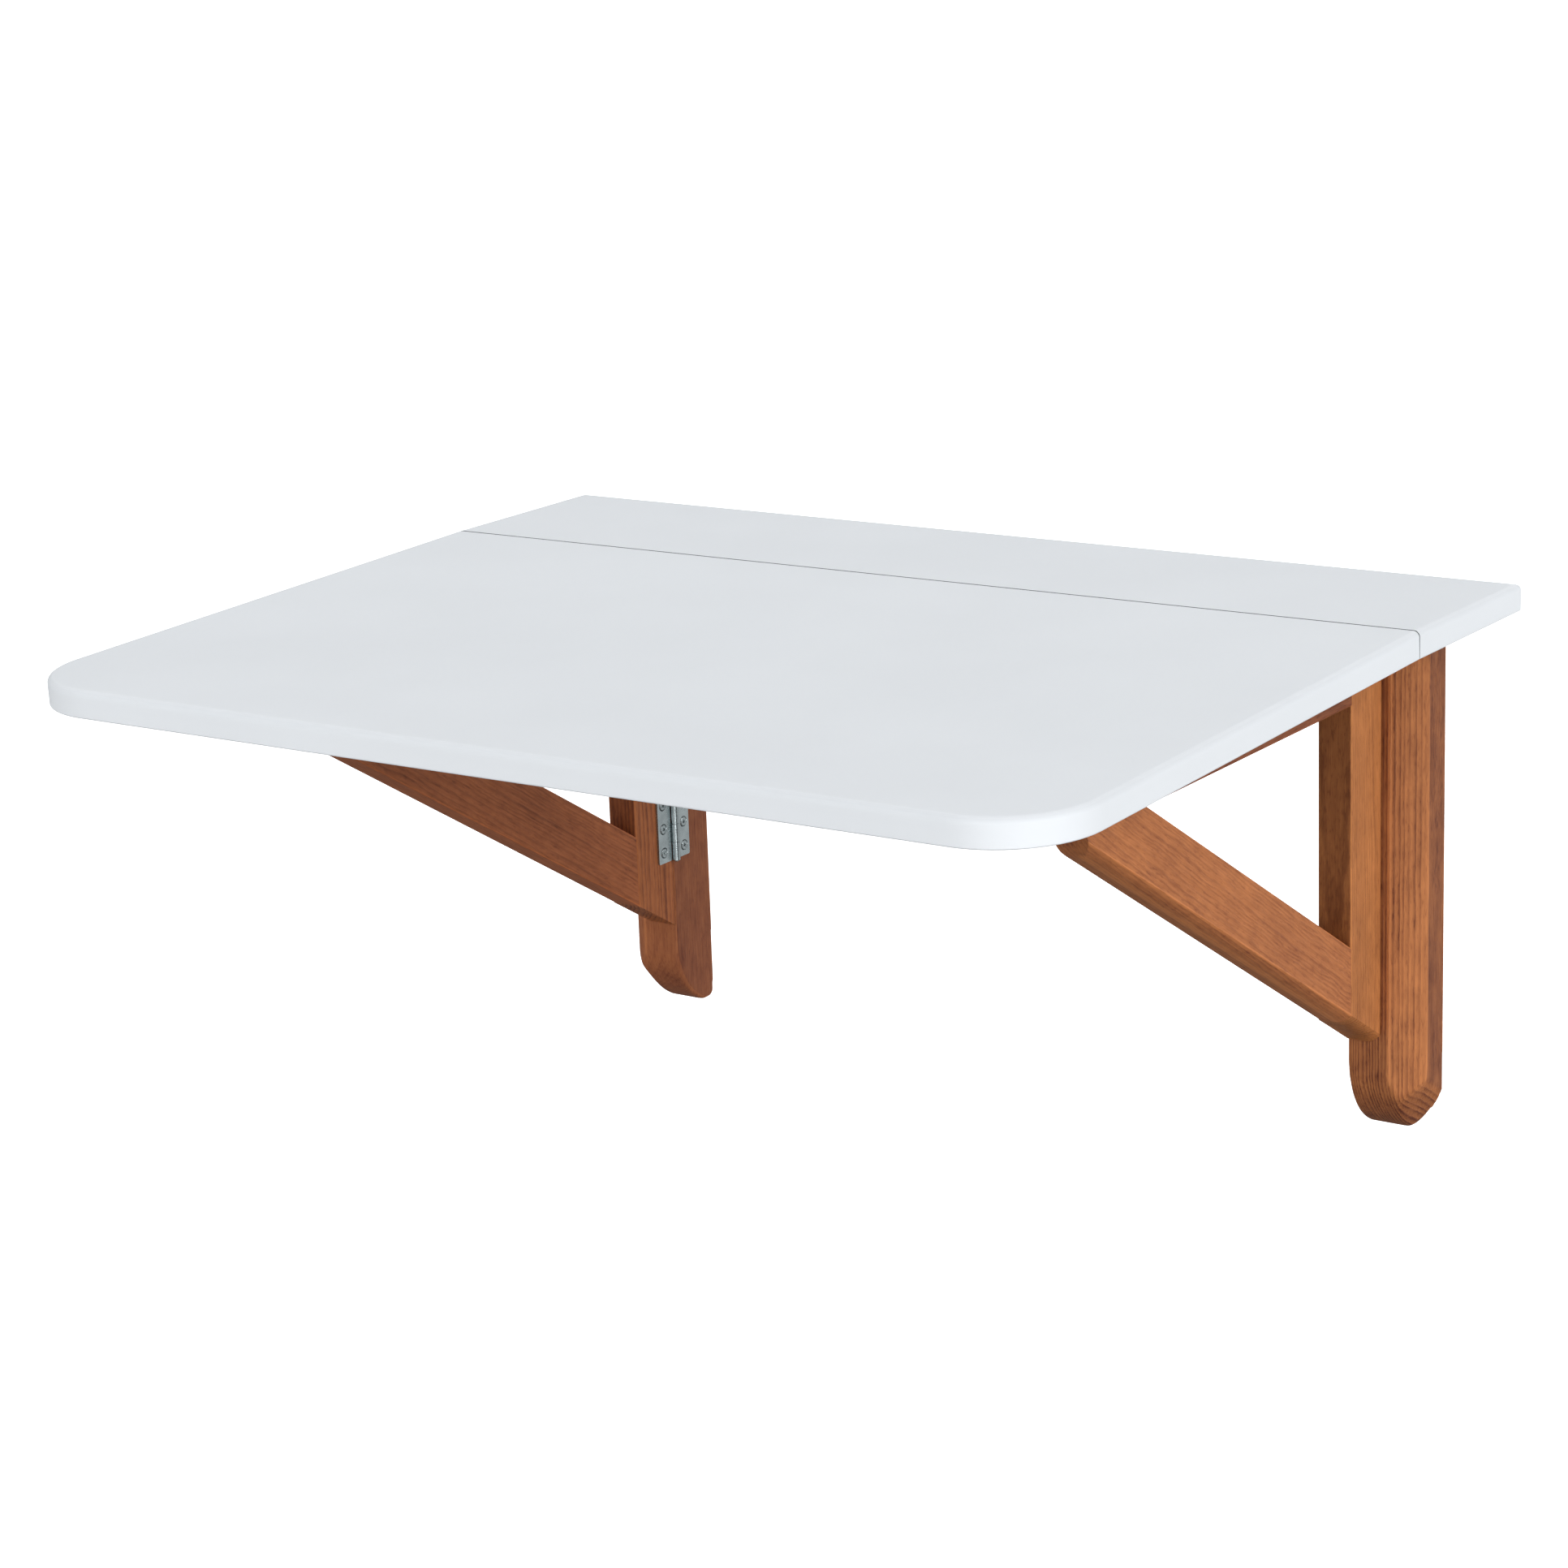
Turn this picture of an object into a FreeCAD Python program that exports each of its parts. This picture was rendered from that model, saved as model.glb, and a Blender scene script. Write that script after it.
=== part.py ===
import FreeCAD, Part
import math
import os

import Sketcher

# Wall mounted drop leaf table: a fixed board on two wall posts, a leaf hinged to the board's front edge,
# and two timber gates that swing out under the leaf. Millimetres. +X runs along the wall to the right,
# -Y out into the room and +Z up. The origin is on the wall, at the centre of the four wall screw holes.

DRIVING_SIZES = (
    ("table_width", 750, "board and leaf, along the wall"),
    ("board_depth", 150, "wall to the middle of the seam"),
    ("leaf_depth", 450, "middle of the seam to the leaf's front edge"),
    ("board_thickness", 18, "board and leaf"),
    ("leaf_corner", 60, "radius of the leaf's front corners"),
    ("top_round", 4, "rounding of the upper edges"),
    ("under_round", 1.2, "rounding of the lower edges"),
    ("seam_gap", 0.3, "between board and leaf when both are level"),
    ("post_spacing", 550, "between the posts' inner faces"),
    ("post_width", 48, "along the wall"),
    ("post_depth", 44, "out from the wall"),
    ("post_length", 359, "from the board down"),
    ("bevel_across", 19, "outer front bevel of a post, on its front"),
    ("bevel_deep", 20, "the same bevel, on its side"),
    ("bevel_bulge", 3, "rise of the bevel over its chord"),
    ("toe_rise", 41.5, "cut at the foot of a post, height on its front"),
    ("toe_run", 32, "the same cut, depth along its end"),
    ("toe_bulge", 6.3, "rise of that cut over its chord"),
    ("heel_rise", 26, "cut at the outer side of the foot, height at the wall"),
    ("heel_run", 17, "the same cut, along the end"),
    ("heel_bulge", 1.8, "rise of that cut over its chord"),
    ("heel_climb", 26, "how much higher that cut is at the post's front"),
    ("foot_round", 4, "rounding at the back of the foot"),
    ("arris", 1.5, "easing of the timber's long edges"),
    ("gate_thickness", 24, "stile, brace and rail"),
    ("timber_width", 44, "stile and rail, in the gate's plane"),
    ("brace_width", 45, "brace, across its length"),
    ("gate_reach", 386, "front of a post to the nose of its gate"),
    ("gate_drop", 7.6, "rail top below the board"),
    ("gate_gap", 0.3, "between a stile and its post"),
    ("rest_gap", 0.3, "between the gate's nose and the leaf at rest"),
    ("stile_length", 284, "rail top to the tip of the stile"),
    ("brace_angle", 31.1, "slope of the brace, in degrees"),
    ("brace_bevel_across", 12, "outer lower bevel, on the underside"),
    ("brace_bevel_deep", 5.5, "the same bevel, on the outer face"),
    ("brace_bevel_bulge", 1.4, "rise of that bevel over its chord"),
    ("nose_radius", 45, "rounding of the gate's lower front corner"),
    ("wall_screw_pitch", 214, "upper to lower wall screw"),
    ("wall_screw_drop", 40, "board's underside to the upper wall screw"),
    ("wall_screw_inset", 12, "inner face of a post to its wall screws"),
    ("wall_hole", 6.5, "diameter, for a 6 mm screw"),
    ("wall_counterbore", 14, "diameter"),
    ("wall_counterbore_deep", 14, "depth"),
    ("hinge_length", 70, "along the pin"),
    ("hinge_plate_width", 19, "pin's centre to the plate's edge"),
    ("hinge_plate", 1.5, "thickness"),
    ("knuckle", 6, "outer diameter of the barrel"),
    ("knuckle_gap", 0.3, "end play between two knuckles"),
    ("knuckle_notch", 0.4, "between a plate's notch and the barrel"),
    ("hinge_pin", 3, "diameter"),
    ("pin_fit", 0.05, "round the pin, on the radius"),
    ("pin_proud", 0.5, "pin past each end of the barrel"),
    ("hinge_screw_pitch", 18, "along a plate"),
    ("hinge_screw_inset", 12.5, "pin's centre to the screws"),
    ("upper_hinge_drop", 82, "rail top to the middle of the upper hinge"),
    ("lower_hinge_lift", 86, "stile tip to the middle of the lower hinge"),
    ("leaf_hinge_pitch", 230, "between two leaf hinges"),
    ("screw_shank", 3, "diameter"),
    ("screw_head", 7.2, "diameter"),
    ("screw_dome", 0.6, "head's crown above the plate"),
    ("screw_length", 13, "below the plate's face"),
    ("screw_point", 3, "length of the point"),
    ("screw_fit", 0.05, "round a screw"),
    ("recess_width", 0.9, "cross recess, width of an arm"),
    ("recess_span", 3.8, "cross recess, tip to tip"),
    ("recess_deep", 1.4, "cross recess, below the crown"),
    ("dowel", 8, "diameter"),
    ("dowel_length", 36, "half in each piece"),
    ("dowel_fit", 0.05, "round a dowel and past its ends"),
    ("dowel_pitch", 22, "between the two dowels of a rail joint"),
    ("brace_dowel_pitch", 16, "between the two dowels of a brace's foot"),
    ("brace_dowel_lift", 6, "above the middle of the brace's foot"),
    ("brace_dowel_edge", 14, "heel of the brace's head to its first dowel"),
    ("board_dowel_length", 32, "12 in the board, the rest in the post"),
    ("board_dowel_rise", 12, "depth in the board"),
    ("board_dowel_inset", 30, "inner face of a post to its dowels"),
    ("board_dowel_back", 12, "wall to the rear dowel"),
    ("board_dowel_pitch", 20, "rear to front dowel"),
    ("angle_leg", 40, "length of each leg"),
    ("angle_width", 16, "out from the wall"),
    ("angle_thickness", 2, "sheet of the angle"),
    ("angle_back", 4, "wall to the angle"),
    ("angle_screw_near", 14, "corner to the first screw"),
    ("angle_screw_far", 30, "corner to the second screw"),
    ("cut_margin", 5, "how far a cut runs past its piece"),
)

LEFT, RIGHT = -1, 1
SIDE_NAMES = {LEFT: "left", RIGHT: "right"}

# Places worked out from the driving sizes, as sheet expressions.
BOARD_TOP = "(Sizes.wall_screw_pitch / 2 + Sizes.wall_screw_drop + Sizes.board_thickness)"
BOARD_UNDER = "(Sizes.wall_screw_pitch / 2 + Sizes.wall_screw_drop)"
POST_INNER = "(Sizes.post_spacing / 2)"
POST_OUTER = "(Sizes.post_spacing / 2 + Sizes.post_width)"
FOOT = f"({BOARD_UNDER} - Sizes.post_length)"
STILE_BACK = "(-Sizes.post_depth - Sizes.gate_gap)"
STILE_FRONT = f"({STILE_BACK} - Sizes.timber_width)"
NOSE = "(-Sizes.post_depth - Sizes.gate_reach)"
RAIL_TOP = f"({BOARD_UNDER} - Sizes.gate_drop)"
RAIL_UNDER = f"({RAIL_TOP} - Sizes.timber_width)"
STILE_TIP = f"({RAIL_TOP} - Sizes.stile_length)"
SLOPE = "tan(Sizes.brace_angle)"
BRACE_UPRIGHT = "(Sizes.brace_width / cos(Sizes.brace_angle))"
BRACE_FOOT = f"({STILE_TIP} + Sizes.timber_width * {SLOPE})"
BRACE_NOSE = f"({STILE_TIP} + ({STILE_BACK} - {NOSE}) * {SLOPE})"
BRACE_HEEL = f"({STILE_BACK} - ({RAIL_UNDER} - {STILE_TIP} - {BRACE_UPRIGHT}) / {SLOPE})"
GATE_AXIS_Y = "(-Sizes.post_depth - Sizes.gate_gap / 2)"
GATE_AXIS_X = "(Sizes.post_spacing / 2 - Sizes.knuckle / 2)"
LEAF_AXIS_Z = f"({BOARD_UNDER} - Sizes.knuckle / 2)"
# The leaf leans on the gates' noses, so its slope follows from the gates' drop and reach.
NOSE_TO_SEAM = "(Sizes.post_depth + Sizes.gate_reach - Sizes.board_depth)"
LEAF_DROOP = f"atan((Sizes.gate_drop - Sizes.rest_gap) / {NOSE_TO_SEAM})"

V = FreeCAD.Vector
doc = FreeCAD.newDocument("wall_drop_leaf_table")
sheet = doc.addObject("Spreadsheet::Sheet", "Sizes")
for row, (alias, size, meaning) in enumerate(DRIVING_SIZES, start=1):
    sheet.set(f"A{row}", meaning)
    sheet.set(f"B{row}", str(size))
    sheet.setAlias(f"B{row}", alias)
doc.recompute()

nodes = {}


def number(expression):
    """The value of a sheet expression, in millimetres or degrees."""
    value = sheet.evalExpression(str(expression))
    return float(getattr(value, "Value", value))


def keep(name, piece):
    """Enter a finished piece as a node of the model."""
    piece.Label = name
    nodes[name] = piece
    return piece


# Sketches and features ----------------------------------------------------------------------------

def new_body(name):
    return doc.addObject("PartDesign::Body", name + "_blank")


def new_sketch(body, plane_role, lift="0"):
    """A sketch on one of the body's own origin planes, moved along the plane's normal by lift."""
    plane = next(f for f in body.Origin.OriginFeatures if f.Role == plane_role)
    sketch = body.newObject("Sketcher::SketchObject", body.Name + "_sketch")
    sketch.AttachmentSupport = [(plane, "")]
    sketch.MapMode = "FlatFace"
    sketch.setExpression("AttachmentOffset.Base.z", str(lift))
    return sketch


def pin_point(sketch, geometry, end, x, y):
    """Hold one point of a sketch at the sheet expressions x and y."""
    for kind, axis, place in (("DistanceX", -2, x), ("DistanceY", -1, y)):
        value = number(place)
        if abs(value) < 1e-9:
            sketch.addConstraint(Sketcher.Constraint("PointOnObject", geometry, end, axis))
        else:
            index = sketch.addConstraint(Sketcher.Constraint(kind, -1, 1, geometry, end, value))
            sketch.setExpression(f"Constraints[{index}]", str(place))


def draw_outline(sketch, corners):
    """A closed outline. A corner is x, y and, if an arc leads to the next one, the arc's rise over its
    chord: positive on the left of the way round, negative on the right."""
    points = [V(number(corner[0]), number(corner[1]), 0) for corner in corners]
    starts, ends = [], []
    for i, corner in enumerate(corners):
        following = (i + 1) % len(corners)
        here, there = points[i], points[following]
        if len(corner) == 2:
            geometry = sketch.addGeometry(Part.LineSegment(here, there), False)
            starts.append((geometry, 1))
            ends.append((geometry, 2))
            continue
        rise = number(corner[2])
        chord = there - here
        left = V(-chord.y, chord.x, 0).normalize()
        radius = chord.Length ** 2 / 8 / abs(rise) + abs(rise) / 2
        centre = (here + there) * 0.5 - left * math.copysign(radius - abs(rise), rise)
        first, last = (there, here) if rise > 0 else (here, there)
        angles = [math.atan2(p.y - centre.y, p.x - centre.x) for p in (first, last)]
        arc = Part.ArcOfCircle(Part.Circle(centre, V(0, 0, 1), radius), *angles)
        geometry = sketch.addGeometry(arc, False)
        starts.append((geometry, 2 if rise > 0 else 1))
        ends.append((geometry, 1 if rise > 0 else 2))
        x_run = f"(({corners[following][0]}) - ({corner[0]}))"
        y_run = f"(({corners[following][1]}) - ({corner[1]}))"
        index = sketch.addConstraint(Sketcher.Constraint("Radius", geometry, radius))
        sketch.setExpression(f"Constraints[{index}]",
                             f"({x_run}^2 + {y_run}^2) / 8 / abs({corner[2]}) + abs({corner[2]}) / 2")
    for i, corner in enumerate(corners):
        sketch.addConstraint(Sketcher.Constraint("Coincident", *ends[i - 1], *starts[i]))
        pin_point(sketch, *starts[i], corner[0], corner[1])


def draw_circle(sketch, x, y, diameter):
    centre = V(number(x), number(y), 0)
    geometry = sketch.addGeometry(Part.Circle(centre, V(0, 0, 1), number(diameter) / 2), False)
    pin_point(sketch, geometry, 3, x, y)
    index = sketch.addConstraint(Sketcher.Constraint("Diameter", geometry, number(diameter)))
    sketch.setExpression(f"Constraints[{index}]", str(diameter))


def add_feature(body, kind, sketch, length, side="One side", climb=None):
    """A pad or a pocket. A pocket that takes nothing away stops the build. With a climb, the feature
    leans: it rises by climb over the post's depth."""
    before = body.Shape.Volume if kind == "Pocket" else 0
    feature = body.newObject("PartDesign::" + kind, f"{body.Name}_{kind}")
    feature.Profile = sketch
    feature.Type = "Length"
    feature.SideType = side
    if climb:
        feature.UseCustomVector = True
        feature.AlongSketchNormal = True
        feature.Direction = V(0, -number("Sizes.post_depth"), number(climb))
    feature.setExpression("Length", str(length))
    doc.recompute()
    if kind == "Pocket" and body.Shape.Volume > before - 1e-3:
        raise RuntimeError(f"{feature.Name} cuts nothing")
    return feature


def round_edges(body, radius, wanted):
    """Fillet the edges of the body's last feature whose midpoint and direction suit."""
    base = body.Tip
    names = []
    for i, edge in enumerate(base.Shape.Edges, start=1):
        middle = edge.valueAt((edge.FirstParameter + edge.LastParameter) / 2)
        along = edge.tangentAt((edge.FirstParameter + edge.LastParameter) / 2)
        if wanted(middle, along):
            names.append(f"Edge{i}")
    fillet = body.newObject("PartDesign::Fillet", body.Name + "_Fillet")
    fillet.Base = (base, names)
    fillet.setExpression("Radius", str(radius))
    doc.recompute()
    return fillet


def near(a, b):
    return abs(a - b) < 0.01


def upright(along):
    return near(abs(along.z), 1)


def crosswise(along):
    return near(abs(along.x), 1)


# Copies, holes and cutters ------------------------------------------------------------------------

def frame_at(point, x_axis, y_axis):
    """The placement whose own x and y axes point along the two given directions."""
    return FreeCAD.Placement(point, FreeCAD.Rotation(x_axis, y_axis, x_axis.cross(y_axis), "XYZ"))


def aimed(point, own_axis, direction):
    return FreeCAD.Placement(point, FreeCAD.Rotation(own_axis, direction))


def placed(shape, pose):
    copy = shape.copy()
    copy.Placement = pose.multiply(copy.Placement)
    return copy


def add_copies(name, master, poses):
    """Copies of one master piece as the separate solids of one node."""
    shapes = [placed(master.Shape, pose) for pose in poses]
    group = doc.addObject("Part::Feature", name)
    group.Shape = shapes[0] if len(shapes) == 1 else Part.makeCompound(shapes)
    return keep(name, group)


def cut_away(name, blank, tools):
    """The blank less all of its holes and cuts, as a node."""
    cutter = doc.addObject("Part::Feature", name + "_cuts")
    cutter.Shape = Part.makeCompound(tools)
    cut = doc.addObject("Part::Cut", name)
    cut.Base = blank
    cut.Tool = cutter
    return keep(name, cut)


def screw_hole(pose):
    """Room for one screw: its pilot hole and the seat of its head."""
    fit = number("Sizes.screw_fit")
    shank = number("Sizes.screw_shank / 2") + fit
    head = number("Sizes.screw_head / 2") + fit
    shaft = Part.makeCylinder(shank, number("Sizes.screw_length") + fit, V(), V(0, 0, -1))
    seat = Part.makeCone(head, shank, head - shank, V(), V(0, 0, -1))
    return placed(shaft.fuse(seat), pose)


def dowel_hole(pose, length):
    fit = number("Sizes.dowel_fit")
    tall = number(length) + 2 * fit
    return placed(Part.makeCylinder(number("Sizes.dowel / 2") + fit, tall, V(0, 0, -tall / 2)), pose)


# Master fasteners ---------------------------------------------------------------------------------

# Countersunk wood screw, head at z = 0 and point down.
screw = new_body("screw")
sketch = new_sketch(screw, "XZ_Plane")
draw_outline(sketch, (
    ("0", "-Sizes.screw_length"),
    ("Sizes.screw_shank / 2", "Sizes.screw_point - Sizes.screw_length"),
    ("Sizes.screw_shank / 2", "(Sizes.screw_shank - Sizes.screw_head) / 2"),
    ("Sizes.screw_head / 2", "0"),
    ("Sizes.recess_span / 2", "Sizes.screw_dome"),
    ("0", "Sizes.screw_dome"),
))
turned = screw.newObject("PartDesign::Revolution", "screw_turned")
turned.Profile = sketch
turned.ReferenceAxis = (sketch, ["V_Axis"])
turned.Angle = 360
doc.recompute()
sketch = new_sketch(screw, "XY_Plane", "Sizes.screw_dome")
arm = "Sizes.recess_width / 2"
span = "Sizes.recess_span / 2"
draw_outline(sketch, (
    (arm, arm), (span, arm), (span, f"-{arm}"), (arm, f"-{arm}"), (arm, f"-{span}"), (f"-{arm}", f"-{span}"),
    (f"-{arm}", f"-{arm}"), (f"-{span}", f"-{arm}"), (f"-{span}", arm), (f"-{arm}", arm), (f"-{arm}", span),
    (arm, span),
))
add_feature(screw, "Pocket", sketch, "Sizes.recess_deep")

# Plain beech dowel, lying along z with its middle at the origin.
dowel = doc.addObject("Part::Cylinder", "dowel")
dowel.setExpression("Radius", "Sizes.dowel / 2")
dowel.setExpression("Height", "Sizes.dowel_length")
dowel.setExpression("Placement.Base.z", "-Sizes.dowel_length / 2")
board_dowel = doc.addObject("Part::Cylinder", "board_dowel")
board_dowel.setExpression("Radius", "Sizes.dowel / 2")
board_dowel.setExpression("Height", "Sizes.board_dowel_length")
board_dowel.setExpression("Placement.Base.z", "-Sizes.board_dowel_length / 2")

# Butt hinge ---------------------------------------------------------------------------------------
# Its pin lies along z through the origin. The timber is behind the plane y = knuckle radius, the fixed plate
# reaches along +x with knuckles 1, 3 and 5, and the moving plate along -x with knuckles 2 and 4.

KNUCKLES = 5
HINGE_SCREWS = 4
SEGMENT = f"(Sizes.hinge_length / {KNUCKLES})"
PLATE_FACE = "(Sizes.knuckle / 2 - Sizes.hinge_plate)"


def segment_middle(index):
    return f"({index - (KNUCKLES - 1) / 2}) * {SEGMENT}"


def hinge_screw_poses(reach):
    """Screws of one plate, in the hinge's frame."""
    return [aimed(V(reach * number("Sizes.hinge_screw_inset"), number(PLATE_FACE),
                    (i - (HINGE_SCREWS - 1) / 2) * number("Sizes.hinge_screw_pitch")),
                  V(0, 0, -1), V(0, 1, 0))
            for i in range(HINGE_SCREWS)]


def hinge_plate(name, reach, own_knuckles):
    """One plate of the hinge with its own knuckles, notched for the other plate's."""
    body = new_body(name)
    edge = f"{reach} * Sizes.hinge_plate_width"
    notch = f"{reach} * (Sizes.knuckle / 2 + Sizes.knuckle_notch)"
    half = "(Sizes.hinge_length - Sizes.knuckle_gap) / 2"
    corners = [(edge, half), (edge, f"-{half}")]
    for index in range(KNUCKLES):
        reaches_pin = index in own_knuckles
        play = "Sizes.knuckle_gap / 2"
        lower = f"({segment_middle(index)} - {SEGMENT} / 2 {'+' if reaches_pin else '-'} {play})"
        upper = f"({segment_middle(index)} + {SEGMENT} / 2 {'-' if reaches_pin else '+'} {play})"
        lower = f"-{half}" if index == 0 else lower
        upper = half if index == KNUCKLES - 1 else upper
        inner = "0" if reaches_pin else notch
        corners += [(inner, lower), (inner, upper)]
    sketch = new_sketch(body, "XZ_Plane", "-Sizes.knuckle / 2")
    draw_outline(sketch, corners)
    add_feature(body, "Pad", sketch, "Sizes.hinge_plate")
    for index in own_knuckles:
        knuckle_end = f"{segment_middle(index)} - ({SEGMENT} - Sizes.knuckle_gap) / 2"
        sketch = new_sketch(body, "XY_Plane", knuckle_end)
        draw_circle(sketch, "0", "0", "Sizes.knuckle")
        add_feature(body, "Pad", sketch, f"{SEGMENT} - Sizes.knuckle_gap")
    sketch = new_sketch(body, "XY_Plane")
    draw_circle(sketch, "0", "0", "Sizes.hinge_pin + 2 * Sizes.pin_fit")
    add_feature(body, "Pocket", sketch, "2 * Sizes.hinge_length", "Symmetric")
    cutter = doc.addObject("Part::Feature", name + "_holes")
    cutter.Shape = Part.makeCompound([screw_hole(pose) for pose in hinge_screw_poses(reach)])
    plate = doc.addObject("Part::Cut", name)
    plate.Base = body
    plate.Tool = cutter
    return plate


fixed_plate = hinge_plate("fixed_plate", 1, (0, 2, 4))
moving_plate = hinge_plate("moving_plate", -1, (1, 3))
hinge_pin = doc.addObject("Part::Cylinder", "hinge_pin")
hinge_pin.setExpression("Radius", "Sizes.hinge_pin / 2")
hinge_pin.setExpression("Height", "Sizes.hinge_length + 2 * Sizes.pin_proud")
hinge_pin.setExpression("Placement.Base.z", "-Sizes.hinge_length / 2 - Sizes.pin_proud")
doc.recompute()


def add_hinge(fixed_name, moving_name, pin_name, pose, opened=0):
    """One hinge as three nodes. Returns the screw poses of its two plates."""
    swung = pose.multiply(FreeCAD.Placement(V(), FreeCAD.Rotation(V(0, 0, 1), opened)))
    add_copies(fixed_name, fixed_plate, [pose])
    add_copies(moving_name, moving_plate, [swung])
    add_copies(pin_name, hinge_pin, [pose])
    return ([pose.multiply(p) for p in hinge_screw_poses(1)],
            [swung.multiply(p) for p in hinge_screw_poses(-1)])


# Gate hinges --------------------------------------------------------------------------------------
# They lie open on the flush inner faces of post and stile, two to a gate.

HINGE_LEVELS = {
    "upper": f"{RAIL_TOP} - Sizes.upper_hinge_drop",
    "lower": f"{STILE_TIP} + Sizes.lower_hinge_lift",
}
post_screws = {LEFT: [], RIGHT: []}
gate_screws = {LEFT: [], RIGHT: []}
for side, side_name in SIDE_NAMES.items():
    for level, height in HINGE_LEVELS.items():
        point = V(side * number(GATE_AXIS_X), number(GATE_AXIS_Y), number(height))
        place = f"{side_name}_{level}"
        fixed, moving = add_hinge(f"post_hinge_plate_{place}", f"gate_hinge_plate_{place}",
                                  f"gate_hinge_pin_{place}", frame_at(point, V(0, 1, 0), V(side, 0, 0)))
        post_screws[side] += fixed
        gate_screws[side] += moving
    add_copies(f"post_hinge_screws_{side_name}", screw, post_screws[side])
    add_copies(f"gate_hinge_screws_{side_name}", screw, gate_screws[side])

# Leaf hinges --------------------------------------------------------------------------------------
# Three in a row under the seam, bent by the slope at which the leaf rests.

leaf_pose = FreeCAD.Placement(V(0, -number("Sizes.board_depth"), number(LEAF_AXIS_Z)),
                              FreeCAD.Rotation(V(1, 0, 0), number(LEAF_DROOP)))
LEAF_HINGE_PLACES = {"left": -1, "middle": 0, "right": 1}
board_screws, leaf_screws = [], []
for place_name, step in LEAF_HINGE_PLACES.items():
    point = V(step * number("Sizes.leaf_hinge_pitch"), -number("Sizes.board_depth"), number(LEAF_AXIS_Z))
    fixed, moving = add_hinge(f"board_hinge_plate_{place_name}", f"leaf_hinge_plate_{place_name}",
                              f"leaf_hinge_pin_{place_name}", frame_at(point, V(0, 1, 0), V(0, 0, 1)),
                              number(LEAF_DROOP))
    board_screws += fixed
    leaf_screws += moving
add_copies("board_hinge_screws", screw, board_screws)
add_copies("leaf_hinge_screws", screw, leaf_screws)

# Angles -------------------------------------------------------------------------------------------
# Steel angles in the corner between each post's inner face and the board.

angle_screws = {LEFT: {"post": [], "board": []}, RIGHT: {"post": [], "board": []}}
for side, side_name in SIDE_NAMES.items():
    name = f"angle_bracket_{side_name}"
    body = new_body(name)
    sketch = new_sketch(body, "XZ_Plane", "Sizes.angle_back")
    sheet_x = f"{side} * ({POST_INNER} - Sizes.angle_thickness)"
    leg_x = f"{side} * ({POST_INNER} - Sizes.angle_leg)"
    draw_outline(sketch, (
        (f"{side} * {POST_INNER}", BOARD_UNDER),
        (f"{side} * {POST_INNER}", f"{BOARD_UNDER} - Sizes.angle_leg"),
        (sheet_x, f"{BOARD_UNDER} - Sizes.angle_leg"),
        (sheet_x, f"{BOARD_UNDER} - Sizes.angle_thickness"),
        (leg_x, f"{BOARD_UNDER} - Sizes.angle_thickness"),
        (leg_x, BOARD_UNDER),
    ))
    add_feature(body, "Pad", sketch, "Sizes.angle_width")
    middle_y = -number("Sizes.angle_back + Sizes.angle_width / 2")
    thickness = number("Sizes.angle_thickness")
    for distance in (number("Sizes.angle_screw_near"), number("Sizes.angle_screw_far")):
        on_post = V(side * (number(POST_INNER) - thickness), middle_y, number(BOARD_UNDER) - distance)
        on_board = V(side * (number(POST_INNER) - distance), middle_y, number(BOARD_UNDER) - thickness)
        angle_screws[side]["post"].append(aimed(on_post, V(0, 0, -1), V(side, 0, 0)))
        angle_screws[side]["board"].append(aimed(on_board, V(0, 0, -1), V(0, 0, 1)))
    own_screws = angle_screws[side]["post"] + angle_screws[side]["board"]
    cut_away(name, body, [screw_hole(pose) for pose in own_screws])
    add_copies(f"angle_bracket_screws_{side_name}", screw, own_screws)

# Posts --------------------------------------------------------------------------------------------

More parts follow.
